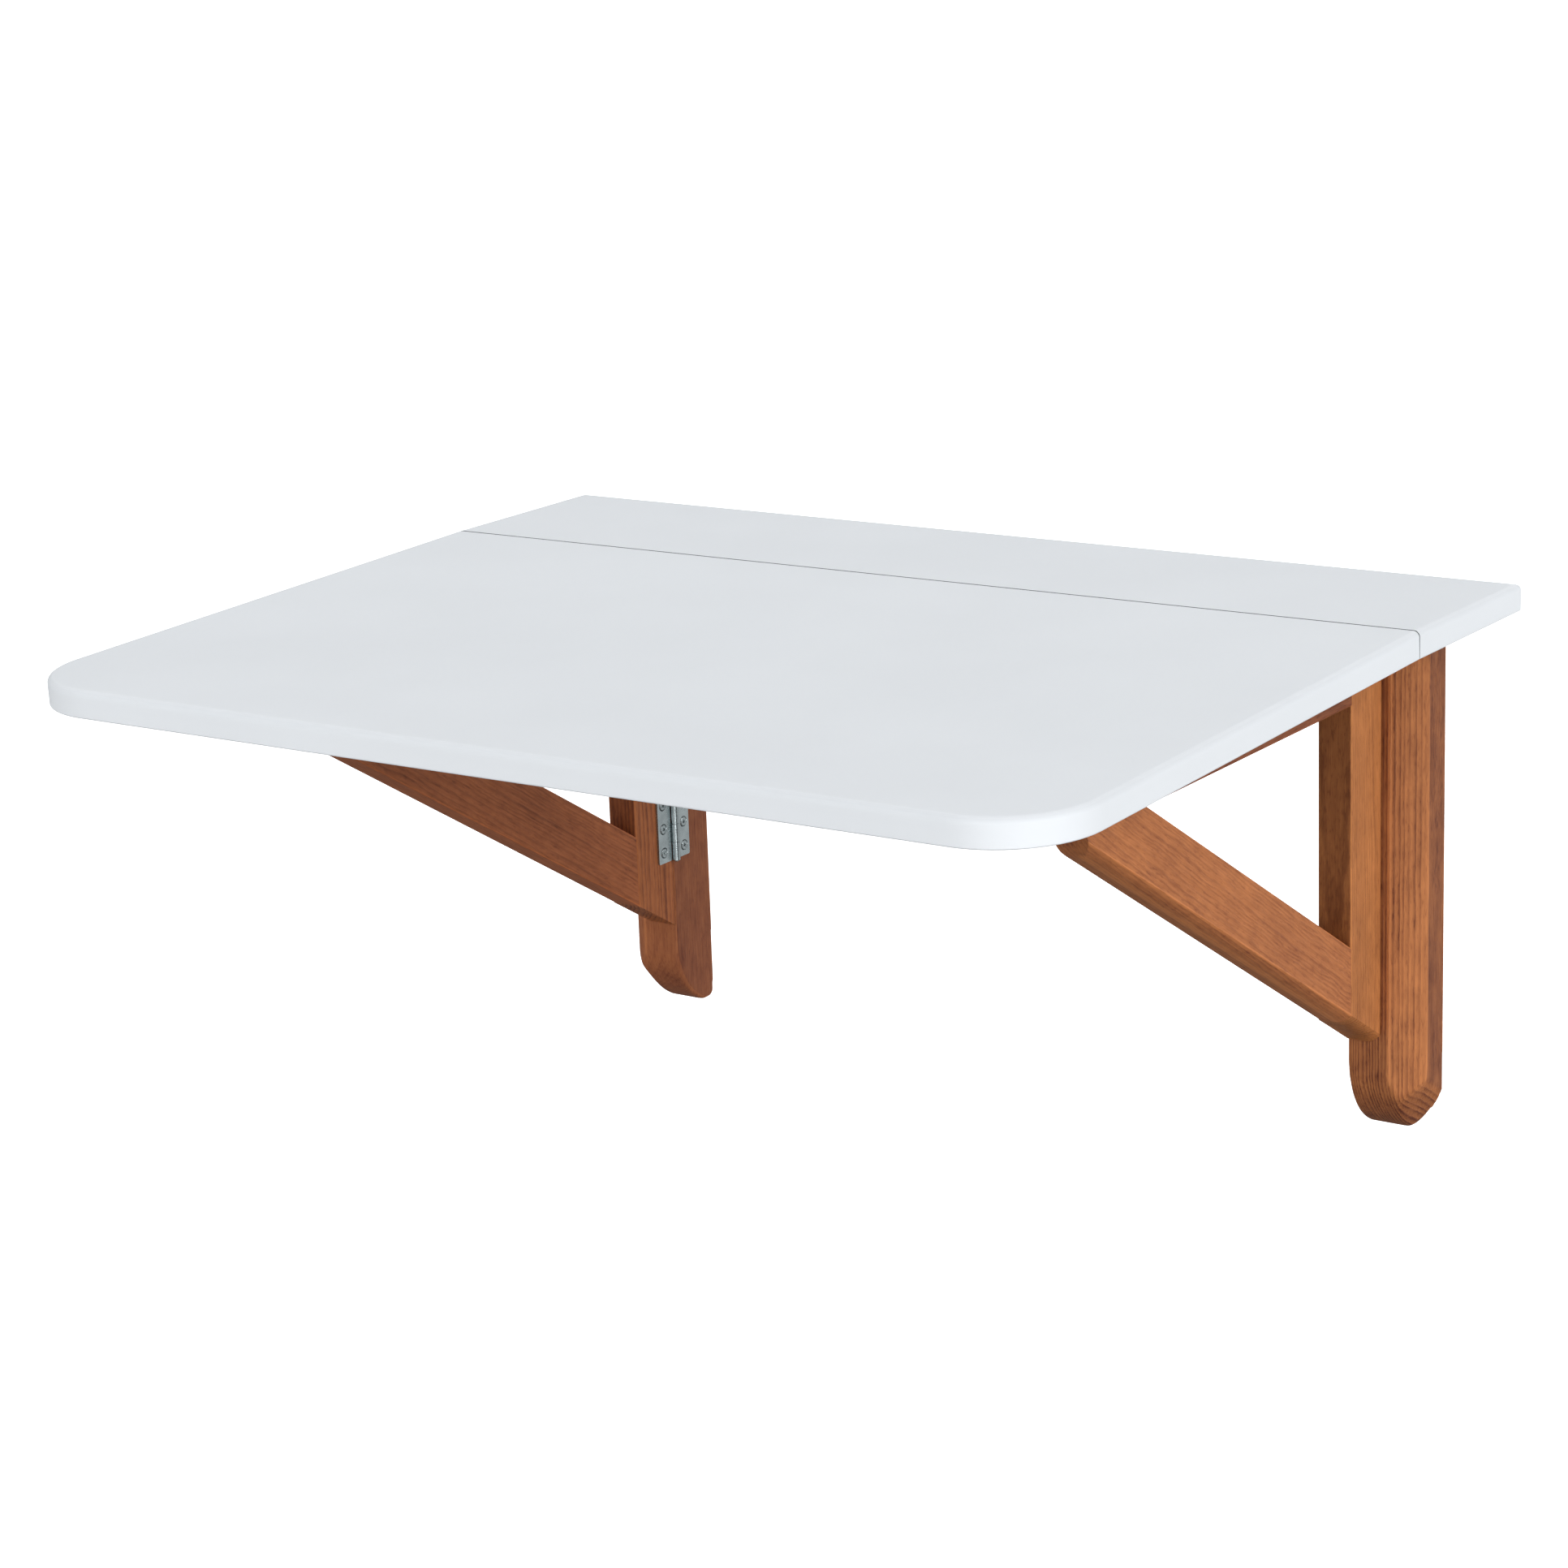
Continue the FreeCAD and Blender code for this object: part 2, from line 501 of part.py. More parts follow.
board_dowel_poses = {}
for side, side_name in SIDE_NAMES.items():
    name = f"wall_post_{side_name}"
    body = new_body(name)
    inner, outer = f"{side} * {POST_INNER}", f"{side} * {POST_OUTER}"
    bevel_start = f"{side} * ({POST_OUTER} - Sizes.bevel_across)"
    sketch = new_sketch(body, "XY_Plane", FOOT)
    draw_outline(sketch, (
        (inner, "0"),
        (inner, "-Sizes.post_depth"),
        (bevel_start, "-Sizes.post_depth", f"{-side} * Sizes.bevel_bulge"),
        (outer, "Sizes.bevel_deep - Sizes.post_depth"),
        (outer, "0"),
    ))
    add_feature(body, "Pad", sketch, "Sizes.post_length")

    below = f"{FOOT} - Sizes.cut_margin"
    toe_top = f"{FOOT} + Sizes.toe_rise"
    sketch = new_sketch(body, "YZ_Plane")
    draw_outline(sketch, (
        ("-Sizes.post_depth", toe_top, "-Sizes.toe_bulge"),
        ("Sizes.toe_run - Sizes.post_depth", FOOT),
        ("Sizes.toe_run - Sizes.post_depth", below),
        ("-Sizes.post_depth - Sizes.cut_margin", below),
        ("-Sizes.post_depth - Sizes.cut_margin", toe_top),
    ))
    add_feature(body, "Pocket", sketch, f"2 * {POST_OUTER} + Sizes.cut_margin", "Symmetric")

    heel_top = f"{FOOT} + Sizes.heel_rise"
    heel_in = f"{side} * ({POST_OUTER} - Sizes.heel_run)"
    heel_out = f"{side} * ({POST_OUTER} + Sizes.cut_margin)"
    heel_below = f"{below} - 2 * Sizes.heel_climb"
    sketch = new_sketch(body, "XZ_Plane")
    draw_outline(sketch, (
        (outer, heel_top, f"{side} * Sizes.heel_bulge"),
        (heel_in, FOOT),
        (heel_in, heel_below),
        (heel_out, heel_below),
        (heel_out, heel_top),
    ))
    heel_span = "2 * (Sizes.post_depth + Sizes.cut_margin)"
    add_feature(body, "Pocket", sketch, heel_span, "Symmetric", "Sizes.heel_climb")

    for diameter, depth in (("Sizes.wall_counterbore", "Sizes.wall_counterbore_deep"),
                            ("Sizes.wall_hole", "Sizes.post_depth + Sizes.cut_margin")):
        sketch = new_sketch(body, "XZ_Plane", "Sizes.post_depth")
        for end in (-1, 1):
            draw_circle(sketch, f"{side} * ({POST_INNER} + Sizes.wall_screw_inset)",
                        f"{end} * Sizes.wall_screw_pitch / 2", diameter)
        add_feature(body, "Pocket", sketch, depth)

    inner_x, foot_z, front_y = number(inner), number(FOOT), -number("Sizes.post_depth")
    round_edges(body, "Sizes.foot_round",
                lambda middle, along: near(middle.y, 0) and near(middle.z, foot_z) and crosswise(along))
    round_edges(body, "Sizes.arris",
                lambda middle, along: near(middle.x, inner_x) and near(middle.y, front_y) and upright(along))

    dowel_x = side * number(f"{POST_INNER} + Sizes.board_dowel_inset")
    dowel_ys = [-number(f"Sizes.board_dowel_back + {i} * Sizes.board_dowel_pitch") for i in range(2)]
    dowel_z = number(f"{BOARD_UNDER} + Sizes.board_dowel_rise - Sizes.board_dowel_length / 2")
    board_dowel_poses[side] = [FreeCAD.Placement(V(dowel_x, y, dowel_z), FreeCAD.Rotation())
                               for y in dowel_ys]
    cut_away(name, body,
             [dowel_hole(pose, "Sizes.board_dowel_length") for pose in board_dowel_poses[side]]
             + [screw_hole(pose) for pose in post_screws[side] + angle_screws[side]["post"]])
all_board_dowels = board_dowel_poses[LEFT] + board_dowel_poses[RIGHT]
add_copies("board_dowels", board_dowel, all_board_dowels)

# Fixed board --------------------------------------------------------------------------------------

body = new_body("fixed_board")
half_width = "(Sizes.table_width / 2)"
seam = "(Sizes.seam_gap / 2 - Sizes.board_depth)"
sketch = new_sketch(body, "XY_Plane", BOARD_UNDER)
draw_outline(sketch, (
    (half_width, "0"),
    (f"-{half_width}", "0"),
    (f"-{half_width}", seam),
    (half_width, seam),
))
add_feature(body, "Pad", sketch, "Sizes.board_thickness")
top_z, under_z, seam_y = number(BOARD_TOP), number(BOARD_UNDER), number(seam)
for radius, edge_z in (("Sizes.top_round", top_z), ("Sizes.under_round", under_z)):
    round_edges(body, radius, lambda middle, along: near(middle.z, edge_z) and not near(middle.y, seam_y))
cut_away("fixed_board", body,
         [dowel_hole(pose, "Sizes.board_dowel_length") for pose in all_board_dowels]
         + [screw_hole(pose) for pose in
            board_screws + angle_screws[LEFT]["board"] + angle_screws[RIGHT]["board"]])

# Drop leaf ----------------------------------------------------------------------------------------
# Drawn with the hinge axis as its own x axis, then turned about it to its resting slope.

body = new_body("drop_leaf")
sketch = new_sketch(body, "XY_Plane", "Sizes.knuckle / 2")
corner_rise = "Sizes.leaf_corner * (1 - sqrt(0.5))"
draw_outline(sketch, (
    (half_width, "-Sizes.seam_gap / 2"),
    (f"-{half_width}", "-Sizes.seam_gap / 2"),
    (f"-{half_width}", "Sizes.leaf_corner - Sizes.leaf_depth", f"-{corner_rise}"),
    (f"Sizes.leaf_corner - {half_width}", "-Sizes.leaf_depth"),
    (f"{half_width} - Sizes.leaf_corner", "-Sizes.leaf_depth", f"-{corner_rise}"),
    (half_width, "Sizes.leaf_corner - Sizes.leaf_depth"),
))
add_feature(body, "Pad", sketch, "Sizes.board_thickness")
low_z = number("Sizes.knuckle / 2")
high_z = number("Sizes.knuckle / 2 + Sizes.board_thickness")
back_y = -number("Sizes.seam_gap / 2")
for radius, edge_z in (("Sizes.top_round", high_z), ("Sizes.under_round", low_z)):
    round_edges(body, radius, lambda middle, along: near(middle.z, edge_z) and not near(middle.y, back_y))
body.Placement = leaf_pose
body.setExpression("Placement.Base.y", "-Sizes.board_depth")
body.setExpression("Placement.Base.z", LEAF_AXIS_Z)
body.setExpression("Placement.Rotation.Angle", LEAF_DROOP)
cut_away("drop_leaf", body, [screw_hole(pose) for pose in leaf_screws])

# Gates --------------------------------------------------------------------------------------------
# A triangle of stile, top rail and brace. The brace's lower edge runs on across the stile's end. The nose
# has one rounding, and the right gate's lower outer edge one bevel, so both cutters serve two pieces.

BEVELLED_GATES = (RIGHT,)


def bevel_cutters(side):
    """The bevel along the brace's lower edge on the gate's outer face, for a gate that has one."""
    if side not in BEVELLED_GATES:
        return []
    outer = number(f"{POST_INNER} + Sizes.gate_thickness")
    margin = number("Sizes.cut_margin")
    across, deep = number("Sizes.brace_bevel_across"), number("Sizes.brace_bevel_deep")
    slope = math.radians(number("Sizes.brace_angle"))
    along = V(0, -math.cos(slope), math.sin(slope))
    into = V(0, math.sin(slope), math.cos(slope))
    start = V(0, number(STILE_BACK), number(STILE_TIP)) - along * number("Sizes.timber_width")

    def at(x, rise):
        return start + V(side * x, 0, 0) + into * rise

    chord = V(across, deep, 0)
    middle = chord * 0.5 + V(deep, -across, 0).normalize() * number("Sizes.brace_bevel_bulge")
    edge_up, edge_in = at(outer, deep), at(outer - across, 0)
    crown = at(outer - across + middle.x, middle.y)
    wire = Part.Wire([
        Part.Arc(edge_up, crown, edge_in).toShape(),
        Part.LineSegment(edge_in, at(outer - across, -margin)).toShape(),
        Part.LineSegment(at(outer - across, -margin), at(outer + margin, -margin)).toShape(),
        Part.LineSegment(at(outer + margin, -margin), at(outer + margin, deep)).toShape(),
        Part.LineSegment(at(outer + margin, deep), edge_up).toShape(),
    ])
    length = number("Sizes.gate_reach + Sizes.timber_width") / math.cos(slope)
    return [Part.Face(wire).extrude(along * (length + number("Sizes.timber_width")))]


def nose_cutter(side):
    """Takes the sharp corner off the gate's lower front end."""
    radius = number("Sizes.nose_radius")
    slope = math.radians(number("Sizes.brace_angle"))
    turn = math.pi / 2 - slope
    corner = V(0, number(NOSE), number(BRACE_NOSE))
    up, along = V(0, 0, 1), V(0, math.cos(slope), -math.sin(slope))
    tangent = radius * math.tan(turn / 2)
    front, under = corner + up * tangent, corner + along * tangent
    inwards = (up + along).normalize()
    crown = corner + inwards * (radius / math.cos(turn / 2) - radius)
    outside = corner - inwards * number("Sizes.cut_margin")
    wire = Part.Wire([
        Part.Arc(front, crown, under).toShape(),
        Part.LineSegment(under, outside).toShape(),
        Part.LineSegment(outside, front).toShape(),
    ])
    prism = Part.Face(wire).extrude(V(number(POST_OUTER), 0, 0))
    return prism if side == RIGHT else prism.mirror(V(), V(1, 0, 0))


def gate_blank(name, side, corners, eased):
    """One timber of a gate, with its long edges eased."""
    body = new_body(name)
    lift = POST_INNER if side == RIGHT else f"-({POST_INNER} + Sizes.gate_thickness)"
    sketch = new_sketch(body, "YZ_Plane", lift)
    draw_outline(sketch, corners)
    add_feature(body, "Pad", sketch, "Sizes.gate_thickness")
    round_edges(body, "Sizes.arris", eased)
    return body


for side, side_name in SIDE_NAMES.items():
    middle_x = side * number(f"{POST_INNER} + Sizes.gate_thickness / 2")
    outer_x = side * number(f"{POST_INNER} + Sizes.gate_thickness")
    joint_y = number(STILE_FRONT)
    rail_middle = number(f"{RAIL_TOP} - Sizes.timber_width / 2")
    foot_middle = number(f"{BRACE_FOOT} + {BRACE_UPRIGHT} / 2 + Sizes.brace_dowel_lift")
    head_y = number(f"{BRACE_HEEL} - Sizes.brace_dowel_edge")
    rail_dowels, foot_dowels, head_dowels = [], [], []
    for i in (0, 1):
        rail_z = rail_middle + (i - 0.5) * number("Sizes.dowel_pitch")
        foot_z = foot_middle + (i - 0.5) * number("Sizes.brace_dowel_pitch")
        rail_dowels.append(aimed(V(middle_x, joint_y, rail_z), V(0, 0, 1), V(0, 1, 0)))
        foot_dowels.append(aimed(V(middle_x, joint_y, foot_z), V(0, 0, 1), V(0, 1, 0)))
        head_dowels.append(FreeCAD.Placement(
            V(middle_x, head_y - i * number("Sizes.dowel_pitch"), number(RAIL_UNDER)), FreeCAD.Rotation()))

    stile = gate_blank(f"gate_stile_{side_name}", side, (
        (STILE_BACK, RAIL_TOP),
        (STILE_FRONT, RAIL_TOP),
        (STILE_FRONT, BRACE_FOOT),
        (STILE_BACK, STILE_TIP),
    ), lambda middle, along: upright(along))
    rail = gate_blank(f"gate_rail_{side_name}", side, (
        (STILE_FRONT, RAIL_TOP),
        (NOSE, RAIL_TOP),
        (NOSE, RAIL_UNDER),
        (STILE_FRONT, RAIL_UNDER),
    ), lambda middle, along: near(abs(along.y), 1))
    brace = gate_blank(f"gate_brace_{side_name}", side, (
        (STILE_FRONT, f"{BRACE_FOOT} + {BRACE_UPRIGHT}"),
        (BRACE_HEEL, RAIL_UNDER),
        (NOSE, RAIL_UNDER),
        (NOSE, BRACE_NOSE),
        (STILE_FRONT, BRACE_FOOT),
    ), lambda middle, along: abs(along.y) > 0.1 and abs(along.z) > 0.1)

    cut_away(f"gate_stile_{side_name}", stile,
             bevel_cutters(side)
             + [dowel_hole(pose, "Sizes.dowel_length") for pose in rail_dowels + foot_dowels]
             + [screw_hole(pose) for pose in gate_screws[side]])
    cut_away(f"gate_rail_{side_name}", rail,
             [nose_cutter(side)]
             + [dowel_hole(pose, "Sizes.dowel_length") for pose in rail_dowels + head_dowels])
    cut_away(f"gate_brace_{side_name}", brace,
             bevel_cutters(side) + [nose_cutter(side)]
             + [dowel_hole(pose, "Sizes.dowel_length") for pose in foot_dowels + head_dowels])
    add_copies(f"gate_dowels_{side_name}", dowel, rail_dowels + foot_dowels + head_dowels)

# Check and write ----------------------------------------------------------------------------------

doc.recompute()
for item in doc.Objects:
    if "Invalid" in item.State or "Error" in item.State:
        raise RuntimeError(f"{item.Name} did not compute: {item.State}")
for name, piece in nodes.items():
    if piece.Shape.isNull() or not piece.Shape.isValid() or not piece.Shape.Solids:
        raise RuntimeError(f"{name} has no valid solid")

os.makedirs("parts", exist_ok=True)
for name, piece in nodes.items():
    piece.Shape.exportStep(f"parts/{name}.step")
print(len(nodes), "nodes,", sum(len(piece.Shape.Solids) for piece in nodes.values()), "solids")
print("leaf slope at rest", round(number(LEAF_DROOP), 3), "degrees")
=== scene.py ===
import math

import bmesh
import bpy
from mathutils import Matrix, Vector


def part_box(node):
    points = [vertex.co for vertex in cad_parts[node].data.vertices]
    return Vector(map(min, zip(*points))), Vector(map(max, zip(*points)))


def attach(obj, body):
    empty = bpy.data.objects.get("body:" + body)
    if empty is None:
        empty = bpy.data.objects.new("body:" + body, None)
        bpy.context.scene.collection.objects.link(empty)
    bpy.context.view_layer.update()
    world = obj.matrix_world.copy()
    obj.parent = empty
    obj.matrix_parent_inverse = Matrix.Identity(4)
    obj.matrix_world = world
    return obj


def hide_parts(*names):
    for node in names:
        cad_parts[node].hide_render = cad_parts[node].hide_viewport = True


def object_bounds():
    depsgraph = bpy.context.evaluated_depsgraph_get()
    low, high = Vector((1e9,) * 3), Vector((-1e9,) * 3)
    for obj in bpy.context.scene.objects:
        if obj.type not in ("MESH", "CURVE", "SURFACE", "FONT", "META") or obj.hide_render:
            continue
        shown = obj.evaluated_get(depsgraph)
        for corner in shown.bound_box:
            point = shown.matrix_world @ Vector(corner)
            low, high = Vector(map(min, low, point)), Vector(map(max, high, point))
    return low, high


# Wall mounted drop leaf table, in the order it is put together on the wall. Metres, +X along the wall to
# the right, -Y out into the room, +Z up. Sizes named _MM are millimetres.
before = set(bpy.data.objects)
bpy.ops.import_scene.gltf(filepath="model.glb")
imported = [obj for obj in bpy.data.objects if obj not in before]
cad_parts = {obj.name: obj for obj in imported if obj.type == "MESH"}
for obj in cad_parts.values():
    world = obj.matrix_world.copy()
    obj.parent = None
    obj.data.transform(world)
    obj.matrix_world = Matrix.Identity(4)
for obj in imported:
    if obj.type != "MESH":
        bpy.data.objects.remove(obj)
cad_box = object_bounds()


# Wall posts -------------------------------------------------------------------------------------------
# Two planed softwood uprights, screwed to the wall, each bevelled on its outer front corner and cut on two
# sides of its foot, which is then sanded round. Brushed, wiped with a red brown stain and sealed matt, so
# that the hard bands of the yearly rings show as dark raised lines where a face cuts across them.

MM = 0.001
# A foot is sanded by smoothing a fine grid of it, less and less towards its top. It is sawn off the
# seam's distance above that, and is longer by the spare while it is sanded.
SANDED_GRID_MM, SANDED_PASSES, SANDED_SHARE = 0.6, 64, 0.5
SANDED_FOOT_MM, SANDED_FADE_MM, AT_WALL_MM, WALL_ROUND_MM = 50, 14, 0.5, 12
FOOT_SEAM_MM, FOOT_SPARE_MM, WELD_MM = 2, 3, 0.001
POST_CREASE_DEG = 16
POST_BEVEL_ACROSS_MM, POST_BEVEL_DEEP_MM = 19, 20
# Each pattern's size across and along the grain. Pores are 0.3 mm wide, which no render shows: they are
# drawn four times as wide.
SWAY_MM, WAVE_MM = (60, 260), (12, 30)
FIBRE_MM, PORE_MM, PATCH_MM, MOTTLE_MM, BLOTCH_MM = (1.1, 22), (1.2, 6), (10, 60), (9, 14), (38, 110)
RING_CROWDING_MM, RING_RELIEF_MM = 7, 0.35
# A noise mostly stays between the first and the last of these.
NOISE_LOW, NOISE_MIDDLE, NOISE_HIGH = 0.3, 0.5, 0.7
OWN_NOISE_STEPS, OWN_NOISE_START_MM = (1.7, 0.9, 1.3), 40
PORE_RAGGEDNESS, PORE_NOISE = 0.4, (0.55, 0.72)
YEAR_STRENGTH_SPREAD, PATCH_STRENGTH, FIBRE_RELIEF = 0.4, (0.55, 1.15), 0.6
PINE_ROUGHNESS = (0.5, 0.62)
# How dark the wood is through one year's ring, from the pale early wood to the dark late wood.
RING_SHARES = ((0.0, 0.6), (0.08, 0.0), (0.3, 0.1), (0.6, 0.4), (0.86, 1.0), (1.0, 0.6))
EARLY_WOOD_STAIN, RING_STAIN, FIBRE_STAIN, PORE_STAIN = 0.34, 0.6, 0.5, 0.22
MOTTLE_STAIN, BLOTCH_STAIN = 0.45, 0.5
# A cut across the grain drinks more stain. It is told by how far inside the long faces it lies: nothing
# more is drunk at the first distance, and all of it at the second.
END_GRAIN_STAIN, END_GRAIN_MM = 0.2, (1, 6)
# Within the first distance of an arris the wood is made lighter by the share: partly worn stain, partly a
# painted highlight. A point within the depth of a face counts as on it.
ARRIS_MM, ARRIS_WEAR_AND_HIGHLIGHT, FACE_DEPTH_MM = 1.1, 0.4, 0.3


def linear(hex_colour):
    """An sRGB hex colour as linear red, green, blue and a full alpha."""
    parts = [int(hex_colour[i:i + 2], 16) / 255 for i in (0, 2, 4)]
    return tuple(p / 12.92 if p <= 0.04045 else ((p + 0.055) / 1.055) ** 2.4 for p in parts) + (1.0,)


def add_node(tree, kind, inputs=None, stops=None, **settings):
    """Add a node, set its properties, fill its inputs with values or with other nodes' outputs, and return
    its first output. Stops are (position, colour) pairs of a ramp."""
    node = tree.nodes.new(kind)
    for setting, value in settings.items():
        setattr(node, setting, value)
    for key, value in (inputs or {}).items():
        socket = node.inputs[key] if isinstance(key, int) else next(
            s for s in node.inputs if s.enabled and s.name == key)
        if isinstance(value, bpy.types.NodeSocket):
            tree.links.new(value, socket)
        else:
            socket.default_value = value
    for i, (position, colour) in enumerate(stops or ()):
        ramp = node.color_ramp.elements
        stop = ramp[i] if i < len(ramp) else ramp.new(position)
        stop.position, stop.color = position, colour
    return next((s for s in node.outputs if s.enabled), None)


def grey_stops(shares):
    """Stops of a ramp that turns a position into a share of nothing to one."""
    return [(position, (share, share, share, 1)) for position, share in shares]


def new_material(name):
    """An empty material, its tree and the object's own coordinates in metres."""
    material = bpy.data.materials.new(name)
    material.use_nodes = True
    tree = material.node_tree
    tree.nodes.clear()
    place = add_node(tree, "ShaderNodeTexCoord").node.outputs["Object"]
    return material, tree, place


def stretched_noise(tree, place, size_mm, shift_mm, detail):
    """Noise of a size across and along the grain, which is the local z."""
    across, along = size_mm
    scaled = add_node(tree, "ShaderNodeMapping",
                      {"Vector": place, "Location": shift_mm, "Scale": (across, across, along)},
                      vector_type="TEXTURE")
    return add_node(tree, "ShaderNodeTexNoise", {"Vector": scaled, "Scale": 1.0, "Detail": detail})


def member_faces(tree, place, node, lie_deg, bevel):
    """How many millimetres a point lies outside a member's x faces, its y faces and its bevel, and how much
    lighter its long edges are, from one on them to nothing a millimetre away: partly worn stain, partly a
    painted highlight. The member's length lies along z, turned by lie_deg about x. A bevel is (across,
    deep, x side, y side), for the edge that it takes off."""
    turn = Matrix.Rotation(math.radians(lie_deg), 3, "X")
    corners = [turn.transposed() @ vertex.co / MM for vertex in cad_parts[node].data.vertices]
    low, high = (Vector([pick(c[i] for c in corners) for i in range(3)]) for pick in (min, max))
    half = (high - low) / 2
    local = add_node(tree, "ShaderNodeMapping", {
        "Vector": place, "Location": turn @ (low + high) / 2 * MM,
        "Rotation": (math.radians(lie_deg), 0, 0), "Scale": (MM, MM, MM)}, vector_type="TEXTURE")
    folded = add_node(tree, "ShaderNodeVectorMath", {0: local}, operation="ABSOLUTE")
    above = add_node(tree, "ShaderNodeVectorMath", {0: folded, 1: half}, operation="SUBTRACT")
    split = add_node(tree, "ShaderNodeSeparateXYZ", {"Vector": above}).node.outputs
    faces = [split["X"], split["Y"]]
    if bevel:
        across, deep, x_side, y_side = bevel
        outward = Vector((x_side * deep, y_side * across, 0)).normalized()
        start = Vector((x_side * (half.x - across), y_side * half.y, 0))
        along_bevel = add_node(tree, "ShaderNodeVectorMath", {0: local, 1: outward},
                               operation="DOT_PRODUCT").node.outputs["Value"]
        faces.append(add_node(tree, "ShaderNodeMath", {0: along_bevel, 1: outward.dot(start)},
                              operation="SUBTRACT"))
    nearest = add_node(tree, "ShaderNodeMath", {0: faces[0], 1: faces[1]}, operation="MINIMUM")
    for face in faces[:2] if bevel else ():
        pair = add_node(tree, "ShaderNodeMath", {0: face, 1: faces[2]}, operation="MINIMUM")
        nearest = add_node(tree, "ShaderNodeMath", {0: nearest, 1: pair}, operation="MAXIMUM")
    arris_wear_and_highlight = add_node(tree, "ShaderNodeMapRange",
                    {"Value": nearest, "From Min": -ARRIS_MM, "From Max": -ARRIS_MM / 4})
    return faces, arris_wear_and_highlight


